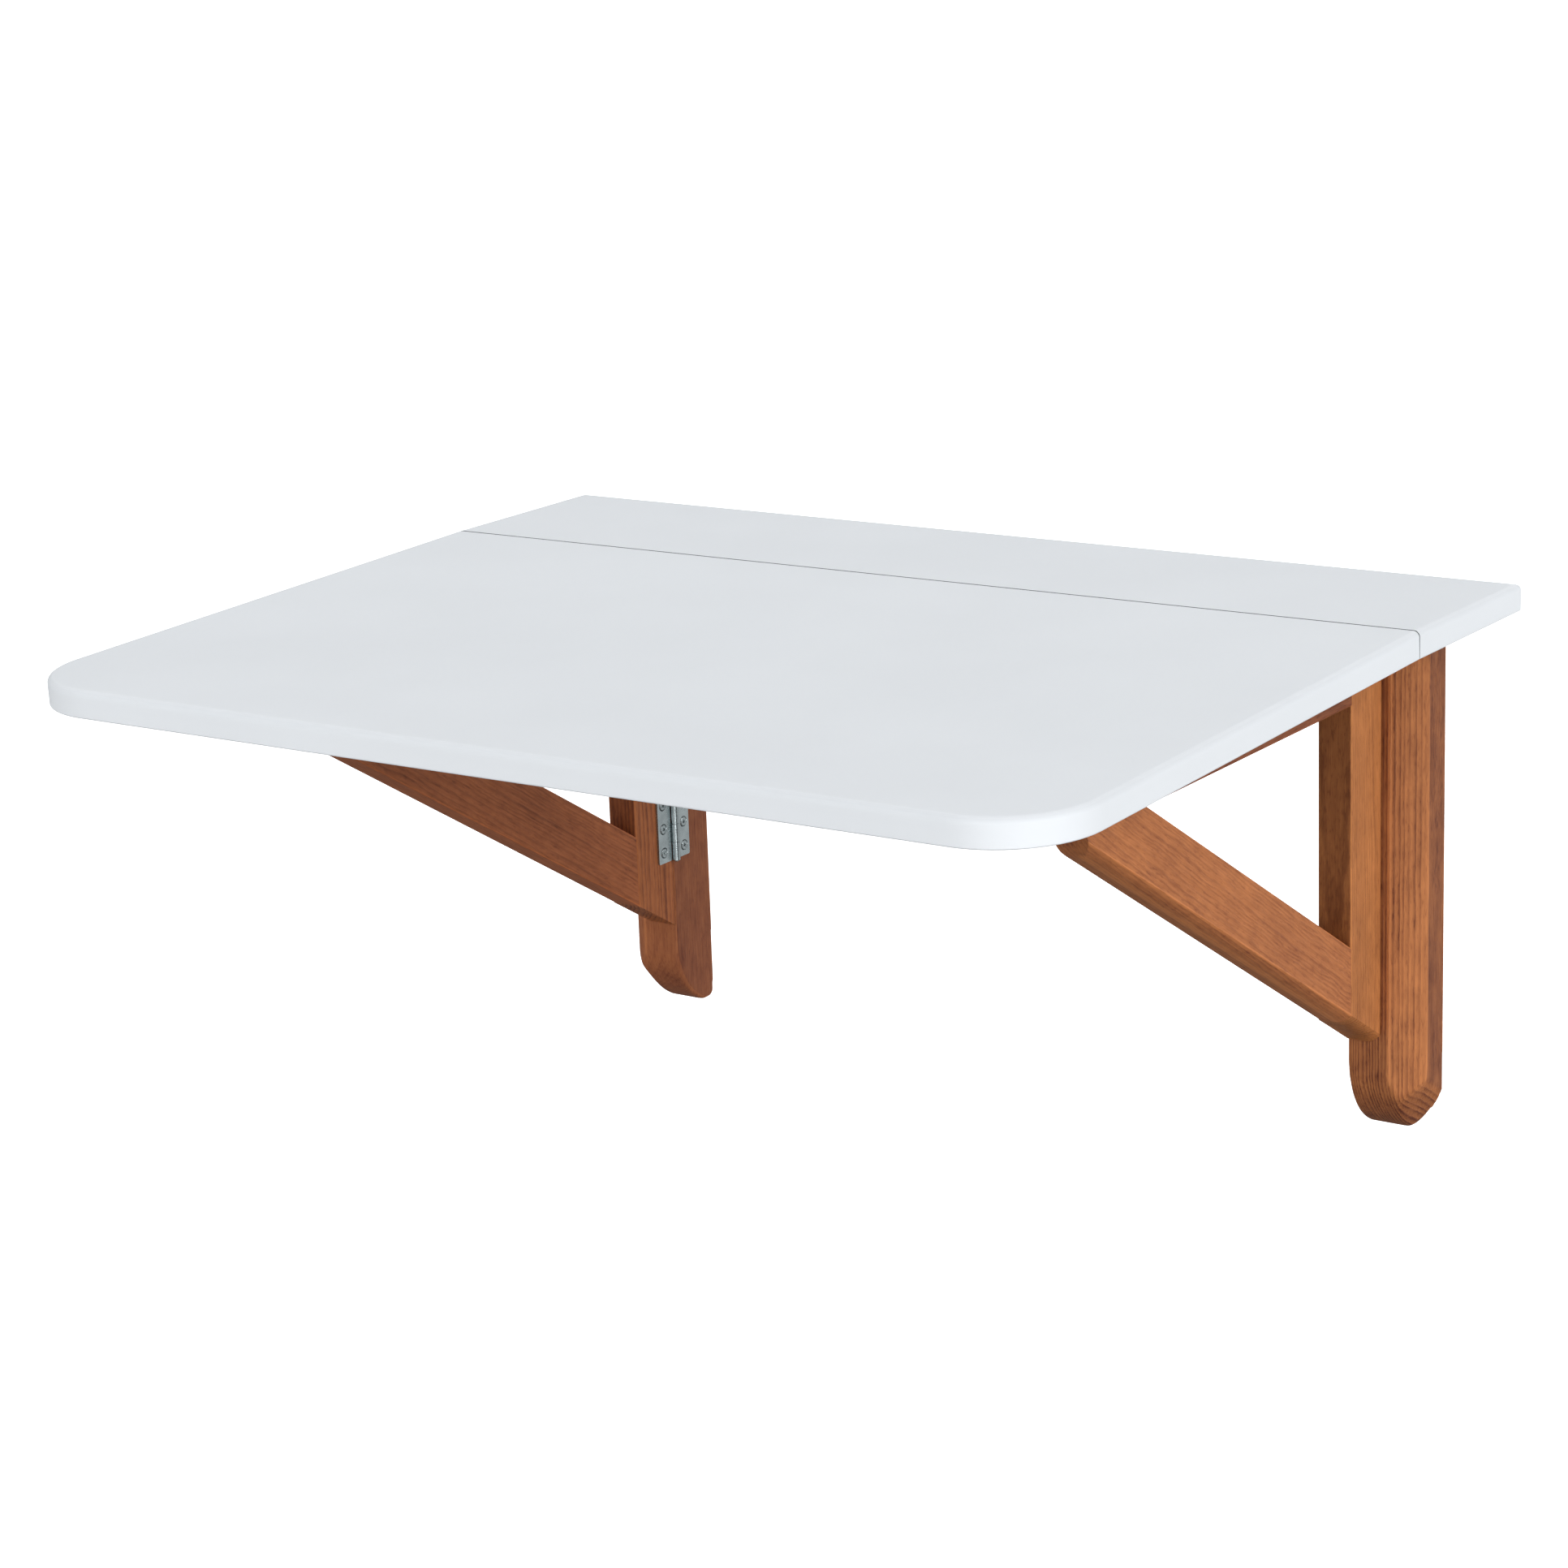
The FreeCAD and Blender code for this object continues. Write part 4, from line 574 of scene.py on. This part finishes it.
def white_lacquer():
    """Sprayed satin lacquer: nearly even, with a peel that only breaks up reflections. A dark hairline at
    the seam and a grey band along the rounded top edges are painted shade.
    """
    material, tree, place = new_material("satin_white_lacquer")
    cloud = add_node(tree, "ShaderNodeTexNoise",
                     {"Vector": place, "Scale": 1 / (LACQUER_CLOUD_MM * MM), "Detail": 2.0})
    lacquered = add_node(tree, "ShaderNodeValToRGB", {"Fac": cloud}, stops=[
        (stop, linear(tone)) for stop, tone in zip(LACQUER_STOPS, LACQUER_TONES)])
    axes = add_node(tree, "ShaderNodeSeparateXYZ", {"Vector": place}).node.outputs
    # Painted shade: a dark hairline where the boards meet, wider on top.
    reach = add_node(tree, "ShaderNodeMapRange", {
        "Value": axes["Z"], "From Min": board_top - SEAM_ROUND_MM * MM, "From Max": board_top,
        "To Min": SEAM_END_MM * MM, "To Max": SEAM_TOP_MM * MM})
    seam = add_node(tree, "ShaderNodeMath", {0: axes["Y"], 1: seam_y, 2: reach}, operation="COMPARE")
    # Painted shade along the rounded top edges; past the seam the band follows the leaf's lean.
    past_seam = add_node(tree, "ShaderNodeMath", {0: seam_y, 1: axes["Y"]}, operation="SUBTRACT",
                         use_clamp=True)
    height = add_node(tree, "ShaderNodeMath", {0: past_seam, 1: LEAF_DROP_MM / LEAF_RUN_MM, 2: axes["Z"]},
                      operation="MULTIPLY_ADD")
    depth = add_node(tree, "ShaderNodeMapRange", {
        "Value": height, "From Min": board_top, "From Max": board_top - TOP_ROUND_MM * MM})
    painted_edge_shade = add_node(tree, "ShaderNodeValToRGB", {"Fac": depth}, stops=grey_stops(EDGE_SHADE_SHARES))
    edge_shaded_lacquer = add_node(tree, "ShaderNodeMix", {"Factor": painted_edge_shade, "A": lacquered, "B": linear(EDGE_SHADE_TONE)},
                       data_type="RGBA")
    colour = add_node(tree, "ShaderNodeMix", {"Factor": seam, "A": edge_shaded_lacquer, "B": linear(SEAM_SHADE_TONE)},
                      data_type="RGBA")
    peel = add_node(tree, "ShaderNodeTexNoise",
                    {"Vector": place, "Scale": 1 / (ORANGE_PEEL_MM * MM), "Detail": 1.0})
    rough = add_node(tree, "ShaderNodeMapRange", {
        "Value": peel, "From Min": NOISE_LOW, "From Max": NOISE_HIGH,
        "To Min": LACQUER_ROUGHNESS[0], "To Max": LACQUER_ROUGHNESS[1]})
    bump = add_node(tree, "ShaderNodeBump",
                    {"Height": peel, "Strength": 0.08, "Distance": PEEL_RELIEF_MM * MM})
    shader = add_node(tree, "ShaderNodeBsdfPrincipled", {
        "Base Color": colour, "Roughness": rough, "Normal": bump, "IOR": 1.5, "Specular IOR Level": 0.2})
    add_node(tree, "ShaderNodeOutputMaterial", {"Surface": shader})
    return material


lacquer = white_lacquer()
finish_node("fixed_board", lacquer)


# Dowels -----------------------------------------------------------------------------------------------
# Plain 8 mm beech dowels glue the board to the posts and each gate's three members together. They are
# hidden once the joints close: pale pinkish wood with fine short flecks along the dowel.

BEECH_TONES, BEECH_STOPS = ("D9B48A", "B98B5E"), (0.4, 0.7)
BEECH_FLECK_MM, BEECH_RELIEF_MM = (0.5, 0.5, 4), 0.05


def plain_beech():
    """Bare beech: pale, with short darker flecks along the dowel."""
    material, tree, place = new_material("plain_beech")
    scaled = add_node(tree, "ShaderNodeMapping",
                      {"Vector": place, "Scale": [size * MM for size in BEECH_FLECK_MM]},
                      vector_type="TEXTURE")
    fleck = add_node(tree, "ShaderNodeTexNoise", {"Vector": scaled, "Scale": 1.0, "Detail": 2.0})
    colour = add_node(tree, "ShaderNodeValToRGB", {"Fac": fleck}, stops=[
        (stop, linear(tone)) for stop, tone in zip(BEECH_STOPS, BEECH_TONES)])
    bump = add_node(tree, "ShaderNodeBump",
                    {"Height": fleck, "Strength": 0.3, "Distance": BEECH_RELIEF_MM * MM})
    shader = add_node(tree, "ShaderNodeBsdfPrincipled", {
        "Base Color": colour, "Roughness": 0.6, "Normal": bump})
    add_node(tree, "ShaderNodeOutputMaterial", {"Surface": shader})
    return material


beech = plain_beech()
for node in ("board_dowels", "gate_dowels_left", "gate_dowels_right"):
    finish_node(node, beech)


# Gate hinges ------------------------------------------------------------------------------------------
# Butt hinges, 70 mm long, stamped from 1.5 mm steel strip: each plate's knuckles are rolled round a 3 mm
# pin with riveted ends, and the hinge is zinc plated. Two lie open on the inner faces of each post and
# stile, so that the barrel faces the middle of the table.

HINGE_LENGTH_MM, HINGE_REACH_MM, HINGE_SHEET_MM = 70, 19, 1.5
KNUCKLES, KNUCKLE_RADIUS_MM, KNUCKLE_PLAY_MM, NOTCH_MM, TAIL_MM = 5, 3, 0.15, 0.4, 1
CURL_START_DEG, CURL_END_DEG, CURL_STEP_DEG = 90, 372, 9
HINGE_SCREWS, HINGE_SCREW_STEP_MM, HINGE_SCREW_REACH_MM = 4, 18, 12.5
SEAT_RADIUS_MM, SEAT_DEPTH_MM, SEAT_OPEN_MM = 4.1, 2, 1
PLATE_CORNER_MM, PLATE_CORNER_STEP_DEG = 1.2, 30
PLATE_EASE_MM, EASE_SEGMENTS, EASE_ANGLE_DEG = 0.18, 2, 40
PIN_RADIUS_MM, PIN_FIT_MM, PIN_HEAD_RADIUS_MM, PIN_HEAD_RISE_MM = 1.5, 0.05, 2.3, 1.3
PIN_HEAD_STEP_DEG, TURNED_SIDES = 15, 32


def prism(outline, low, high, along="z"):
    """A closed prism on an outline of (x, y) points in millimetres, from low to high."""
    shape = bmesh.new()
    rings = []
    for level in (low, high):
        corners = [(x, y, level) if along == "z" else (x, level, y) for x, y in outline]
        rings.append([shape.verts.new([c * MM for c in corner]) for corner in corners])
    count = len(outline)
    for i in range(count):
        j = (i + 1) % count
        shape.faces.new((rings[0][i], rings[0][j], rings[1][j], rings[1][i]))
    shape.faces.new(list(reversed(rings[0])))
    shape.faces.new(rings[1])
    bmesh.ops.recalc_face_normals(shape, faces=shape.faces)
    mesh = bpy.data.meshes.new("prism")
    shape.to_mesh(mesh)
    shape.free()
    return mesh


def turned(profile):
    """A solid of revolution round the local z on a profile of (radius, height) points in millimetres,
    the first and the last of them on the axis."""
    shape = bmesh.new()
    poles = [shape.verts.new((0, 0, profile[i][1] * MM)) for i in (0, -1)]
    rings = []
    for radius, height in profile[1:-1]:
        rings.append([shape.verts.new((radius * MM * math.cos(a), radius * MM * math.sin(a), height * MM))
                      for a in (2 * math.pi * i / TURNED_SIDES for i in range(TURNED_SIDES))])
    for i in range(TURNED_SIDES):
        j = (i + 1) % TURNED_SIDES
        shape.faces.new((poles[0], rings[0][j], rings[0][i]))
        shape.faces.new((poles[1], rings[-1][i], rings[-1][j]))
        for lower, upper in zip(rings, rings[1:]):
            shape.faces.new((lower[i], lower[j], upper[j], upper[i]))
    bmesh.ops.recalc_face_normals(shape, faces=shape.faces)
    mesh = bpy.data.meshes.new("turned")
    shape.to_mesh(mesh)
    shape.free()
    return mesh


def joined_with(mesh, others, operation):
    """The mesh united with, or cut by, the others."""
    holder = new_piece("work", mesh)
    helpers = [new_piece("tool", other) for other in others]
    for helper in helpers:
        modifier = holder.modifiers.new("join", "BOOLEAN")
        modifier.operation, modifier.solver, modifier.object = operation, "MANIFOLD", helper
    result = evaluated_mesh(holder)
    for item in [holder] + helpers:
        old = item.data
        bpy.data.objects.remove(item)
        bpy.data.meshes.remove(old)
    return result


def eased(mesh, width_mm):
    """The mesh with its sharp edges rounded off a little."""
    holder = new_piece("work", mesh)
    modifier = holder.modifiers.new("ease", "BEVEL")
    modifier.width, modifier.segments = width_mm * MM, EASE_SEGMENTS
    modifier.limit_method, modifier.angle_limit = "ANGLE", math.radians(EASE_ANGLE_DEG)
    result = evaluated_mesh(holder)
    bpy.data.objects.remove(holder)
    bpy.data.meshes.remove(mesh)
    return result


def along_hinge(index, count, step):
    """How far one of so many evenly spaced things lies along the hinge from its middle."""
    return (index - (count - 1) / 2) * step


def rolled_plate(reach, own_knuckles):
    """One hinge plate, its pin along z through the origin, its back on the plane y = knuckle radius, and
    the plate towards +x or -x as reach says."""
    sheet_face = KNUCKLE_RADIUS_MM - HINGE_SHEET_MM
    inner = KNUCKLE_RADIUS_MM + NOTCH_MM
    half = HINGE_LENGTH_MM / 2 - KNUCKLE_PLAY_MM
    quarter = [math.radians(a) for a in range(0, 91, PLATE_CORNER_STEP_DEG)]
    corner = [(HINGE_REACH_MM - PLATE_CORNER_MM * (1 - math.sin(a)),
               half - PLATE_CORNER_MM * (1 - math.cos(a))) for a in quarter]
    outline = [(inner, -half), (inner, half)] + corner + [(x, -z) for x, z in reversed(corner)]
    plate = prism([(reach * x, z) for x, z in outline], sheet_face, KNUCKLE_RADIUS_MM, along="y")

    curl = [math.radians(a) for a in range(CURL_START_DEG, CURL_END_DEG + 1, CURL_STEP_DEG)]
    bore = PIN_RADIUS_MM + PIN_FIT_MM
    section = [(inner + TAIL_MM, KNUCKLE_RADIUS_MM)]
    section += [(KNUCKLE_RADIUS_MM * math.cos(a), KNUCKLE_RADIUS_MM * math.sin(a)) for a in curl]
    section += [(bore * math.cos(a), bore * math.sin(a)) for a in reversed(curl)]
    section += [(inner + TAIL_MM, sheet_face)]
    segment = HINGE_LENGTH_MM / KNUCKLES
    knuckles = []
    for index in own_knuckles:
        middle = along_hinge(index, KNUCKLES, segment)
        low, high = middle - segment / 2 + KNUCKLE_PLAY_MM, middle + segment / 2 - KNUCKLE_PLAY_MM
        knuckles.append(prism([(reach * x, y) for x, y in section], low, high))
    plate = joined_with(plate, knuckles, "UNION")

    seats = []
    for i in range(HINGE_SCREWS):
        seat = turned([(0, -SEAT_OPEN_MM), (SEAT_RADIUS_MM + SEAT_OPEN_MM, -SEAT_OPEN_MM),
                       (SEAT_RADIUS_MM, 0), (SEAT_RADIUS_MM - SEAT_DEPTH_MM, SEAT_DEPTH_MM),
                       (0, SEAT_DEPTH_MM)])
        place = Vector((reach * HINGE_SCREW_REACH_MM, sheet_face,
                        along_hinge(i, HINGE_SCREWS, HINGE_SCREW_STEP_MM))) * MM
        seat.transform(Matrix.Translation(place) @ Matrix.Rotation(math.radians(-90), 4, "X"))
        seats.append(seat)
    return eased(joined_with(plate, seats, "DIFFERENCE"), PLATE_EASE_MM)


def riveted_pin():
    """The pin of a hinge, along z, with a domed head at both ends."""
    half = HINGE_LENGTH_MM / 2
    rim = half + PIN_FIT_MM
    cap = [(PIN_HEAD_RADIUS_MM * math.cos(a), half + PIN_HEAD_RISE_MM * math.sin(a))
           for a in (math.radians(t) for t in range(0, 90, PIN_HEAD_STEP_DEG))]
    upper = [(PIN_RADIUS_MM, rim)] + [(r, max(z, rim)) for r, z in cap]
    upper += [(0, half + PIN_HEAD_RISE_MM)]
    lower = [(r, -z) for r, z in reversed(upper)]
    return turned(lower + upper)


fixed_plate = rolled_plate(1, (0, 2, 4))
moving_plate = rolled_plate(-1, (1, 3))
pin = riveted_pin()


def hinge_pose(pin_node, plate_way, timber_way):
    """Where a hinge sits: its pin's middle, the way its fixed plate reaches and the way to the timber."""
    low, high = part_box(pin_node)
    columns = (Vector(plate_way), Vector(timber_way), Vector(plate_way).cross(Vector(timber_way)))
    turn = Matrix([[column[row] for column in columns] for row in range(3)]).to_4x4()
    return Matrix.Translation((low + high) / 2) @ turn


def place_copy(name, master, pose, body, node):
    """Set a copy of a hinge part at a hinge's pose, as its own piece that replaces a node."""
    mesh = master.copy()
    mesh.transform(pose)
    mesh.materials.clear()
    mesh.materials.append(zinc)
    settle(new_piece(name, mesh), mesh, body, (node,), CREASE_DEG)


def hinge_screws(pose, reach):
    """Places and facings of one plate's screws."""
    steps = [along_hinge(i, HINGE_SCREWS, HINGE_SCREW_STEP_MM) for i in range(HINGE_SCREWS)]
    places = [Vector((reach * HINGE_SCREW_REACH_MM, KNUCKLE_RADIUS_MM - HINGE_SHEET_MM, step)) * MM
              for step in steps]
    return [(pose @ place, pose.to_3x3() @ Vector((0, -1, 0))) for place in places]


post_places = []
for side, side_name, seed in ((-1, "left", 10), (1, "right", 12)):
    gate_places = []
    for level in ("upper", "lower"):
        place_name = f"{side_name}_{level}"
        pose = hinge_pose(f"gate_hinge_pin_{place_name}", (0, 1, 0), (side, 0, 0))
        for piece_name, master, body, node_name in (
                ("rolled_post_plate", fixed_plate, "wall_frame", "post_hinge_plate"),
                ("rolled_gate_plate", moving_plate, f"gate_{side_name}", "gate_hinge_plate"),
                ("riveted_gate_pin", pin, "wall_frame", "gate_hinge_pin")):
            place_copy(f"{piece_name}_{place_name}", master, pose, body, f"{node_name}_{place_name}")
        post_places += hinge_screws(pose, 1)
        gate_places += hinge_screws(pose, -1)
    drive_screws(f"gate_plate_screws_{side_name}", gate_places, f"gate_{side_name}",
                 (f"gate_hinge_screws_{side_name}",), seed)
drive_screws("post_plate_screws", post_places, "wall_frame",
             ("post_hinge_screws_left", "post_hinge_screws_right"), seed=17)


# Gates ------------------------------------------------------------------------------------------------
# Each gate is a triangle of 24 mm softwood: an upright stile, a rail and a brace, doweled and glued,
# stained and sealed like the posts. The grain runs along each member, a little askew in the braces, so
# that their growth lines run out in long slanting curves.

BRACE_SLOPE_DEG = 31.1
BRACE_BEVEL_ACROSS_MM, BRACE_BEVEL_DEEP_MM = 12, 5.5
# The stiles' front and back faces and the rails' sides are made darker: partly more stain, partly painted
# shade for where they lie under the leaf.
STILE_GRAIN = {"skew_deg": (0.6, 0.3), "face_stain_and_shading": (0, 0.3, 0)}
RAIL_GRAIN = {"lie_deg": 90, "ring_mm": 2.8, "contrast": 0.8, "face_stain_and_shading": (0.3, 0, 0)}
BRACE_GRAIN = {"lie_deg": 90 - BRACE_SLOPE_DEG, "skew_deg": (-1.5, 0.5), "ring_mm": 2.6, "contrast": 0.55,
               "sway_mm": 9, "wave_mm": 3.5}
# Each member with the tones of its early and late wood, its pith and its grain.
GATE_MEMBERS = (
    ("gate_stile_left", ("C07342", "703A20"), (-407, -170, 0),
     STILE_GRAIN | {"ring_mm": 3.0, "contrast": 1.0}),
    ("gate_rail_left", ("B2693E", "68351D"), (-322, -250, 95), RAIL_GRAIN),
    ("gate_brace_left", ("C27143", "6B371E"), (-337, -250, -75), BRACE_GRAIN),
    ("gate_stile_right", ("CC834B", "7C4726"), (287, -50, 0),
     STILE_GRAIN | {"ring_mm": 2.2, "contrast": 0.5}),
    ("gate_rail_right", ("B36C42", "65341E"), (252, -250, 95), RAIL_GRAIN),
    ("gate_brace_right", ("CB804B", "794127"), (237, -250, -75),
     BRACE_GRAIN | {"bevel": (BRACE_BEVEL_ACROSS_MM, BRACE_BEVEL_DEEP_MM, 1, -1)}),
)
for node, tones, pith_mm, grain in GATE_MEMBERS:
    finish_node(node, stained_pine(node, tones, pith_mm, **grain))


# Drop leaf --------------------------------------------------------------------------------------------
# The leaf is the same 18 mm white lacquered board with two round front corners. Three of the same hinges
# join it to the fixed board from below, and at rest it leans on the gates' noses by a degree and a half.

finish_node("drop_leaf", lacquer)
board_places, leaf_places = [], []
for place_name in ("left", "middle", "right"):
    pose = hinge_pose(f"leaf_hinge_pin_{place_name}", (0, 1, 0), (0, 0, 1))
    lean = pose @ Matrix.Rotation(math.atan2(LEAF_DROP_MM, LEAF_RUN_MM), 4, "Z")
    for piece_name, master, turn, body, node_name in (
            ("rolled_board_plate", fixed_plate, pose, "wall_frame", "board_hinge_plate"),
            ("rolled_leaf_plate", moving_plate, lean, "drop_leaf", "leaf_hinge_plate"),
            ("riveted_leaf_pin", pin, pose, "wall_frame", "leaf_hinge_pin")):
        place_copy(f"{piece_name}_{place_name}", master, turn, body, f"{node_name}_{place_name}")
    board_places += hinge_screws(pose, 1)
    leaf_places += hinge_screws(lean, -1)
drive_screws("board_plate_screws", board_places, "wall_frame", ("board_hinge_screws",), seed=23)
drive_screws("leaf_plate_screws", leaf_places, "drop_leaf", ("leaf_hinge_screws",), seed=29)
for master in (fixed_plate, moving_plate, pin):
    bpy.data.meshes.remove(master)


# Floor and backdrop -----------------------------------------------------------------------------------
# A plain pale studio floor, 750 mm below the table top, and a white cyclorama far behind it. Both only
# stand round the table: they send no light back up under it.

TABLE_HEIGHT_MM = 750
STUDIO_RADIUS, STUDIO_SIDES = 30, 64
FLOOR_TONE, FLOOR_GLOW = "F2F2F2", 0.7
BACKDROP_TONE, BACKDROP_GLOW = "000000", 1.0


def studio_paint(name, tone, glow):
    """Flat paint that glows a little, so that the studio stays evenly pale."""
    material, tree, _ = new_material(name)
    shader = add_node(tree, "ShaderNodeBsdfPrincipled", {
        "Base Color": linear(tone), "Roughness": 0.9, "Specular IOR Level": 0.0,
        "Emission Color": (1, 1, 1, 1), "Emission Strength": glow})
    add_node(tree, "ShaderNodeOutputMaterial", {"Surface": shader})
    return material


def studio_piece(name, material, shape):
    """A piece of the studio, which is seen but gives no bounced light, reflection or shadow."""
    mesh = bpy.data.meshes.new(name)
    shape.to_mesh(mesh)
    shape.free()
    mesh.materials.append(material)
    piece = new_piece(name, mesh)
    piece.visible_diffuse = piece.visible_glossy = piece.visible_shadow = False


floor_z = cad_box[1][2] - TABLE_HEIGHT_MM * MM
disc = bmesh.new()
bmesh.ops.create_circle(disc, cap_ends=True, segments=STUDIO_SIDES, radius=STUDIO_RADIUS)
bmesh.ops.translate(disc, verts=disc.verts, vec=(0, 0, floor_z))
studio_piece("floor", studio_paint("pale_floor_paint", FLOOR_TONE, FLOOR_GLOW), disc)
dome = bmesh.new()
bmesh.ops.create_uvsphere(dome, u_segments=STUDIO_SIDES, v_segments=STUDIO_SIDES // 2,
                          radius=STUDIO_RADIUS)
bmesh.ops.reverse_faces(dome, faces=dome.faces)
bmesh.ops.translate(dome, verts=dome.verts, vec=(0, 0, floor_z))
studio_piece("backdrop", studio_paint("white_backdrop", BACKDROP_TONE, BACKDROP_GLOW), dome)


# Light ------------------------------------------------------------------------------------------------
# Soft studio light from all round: wide lamps high in front, on both sides and behind, two low ones that
# reach in under the leaf, a small one that puts a spark on the hinges' barrels, and a faint even sky.

SKY_STRENGTH = 0.24
LAMPS = (  # name, degrees round from the front to the right, degrees up, strength, spread in degrees
    ("front_lamp", 0, 28, 0.62, 50),
    ("right_lamp", 90, 20, 0.68, 40),
    ("left_lamp", -90, 30, 0.30, 40),
    ("back_lamp", 180, 30, 0.20, 40),
    ("low_front_lamp", 15, -25, 0.12, 50),
    ("low_back_lamp", 144, -15, 0.10, 50),
    ("spark_lamp", 52, -12, 0.10, 12),
)
for name, round_deg, up_deg, strength, spread in LAMPS:
    lamp = bpy.data.lights.new(name, "SUN")
    lamp.energy = strength * math.pi
    lamp.angle = math.radians(spread)
    light = new_piece(name, lamp)
    light.rotation_euler = (math.radians(90 - up_deg), 0, math.radians(round_deg))
sky = bpy.data.worlds.new("sky")
scene.world = sky
sky.use_nodes = True
sky.node_tree.nodes.clear()
sky_light = add_node(sky.node_tree, "ShaderNodeBackground", {"Strength": SKY_STRENGTH})
add_node(sky.node_tree, "ShaderNodeOutputWorld", {"Surface": sky_light})


# Camera -----------------------------------------------------------------------------------------------
# A camera with a 90 mm lens, 2.8 m away, to the right of the table and above it. It is tipped down and
# rolled by two degrees.

CAMERA_PLACE = Vector((1.38309, -2.29320, 0.71054))
CAMERA_YAW_DEG, CAMERA_PITCH_DEG, CAMERA_ROLL_DEG = 34.6817, 15.0291, -2.1005
CAMERA_LENS_MM, CAMERA_SENSOR_MM = 90.354, 36
NEAREST_SEEN, FARTHEST_SEEN = 0.05, 4 * STUDIO_RADIUS

yaw, pitch, roll = (math.radians(a) for a in (CAMERA_YAW_DEG, CAMERA_PITCH_DEG, CAMERA_ROLL_DEG))
forward = Vector((-math.sin(yaw) * math.cos(pitch), math.cos(yaw) * math.cos(pitch), -math.sin(pitch)))
rightward = Vector((math.cos(yaw), math.sin(yaw), 0))
upward = rightward.cross(forward)
camera_x = rightward * math.cos(roll) + upward * math.sin(roll)
camera_y = upward * math.cos(roll) - rightward * math.sin(roll)
camera_data = bpy.data.cameras.new("camera")
camera_data.lens, camera_data.sensor_width = CAMERA_LENS_MM, CAMERA_SENSOR_MM
camera_data.clip_start, camera_data.clip_end = NEAREST_SEEN, FARTHEST_SEEN
camera = new_piece("camera", camera_data)
camera.matrix_world = Matrix.Translation(CAMERA_PLACE) @ Matrix(
    [[axis[row] for axis in (camera_x, camera_y, -forward)] for row in range(3)]).to_4x4()
scene.camera = camera
scene.view_settings.view_transform = "Standard"
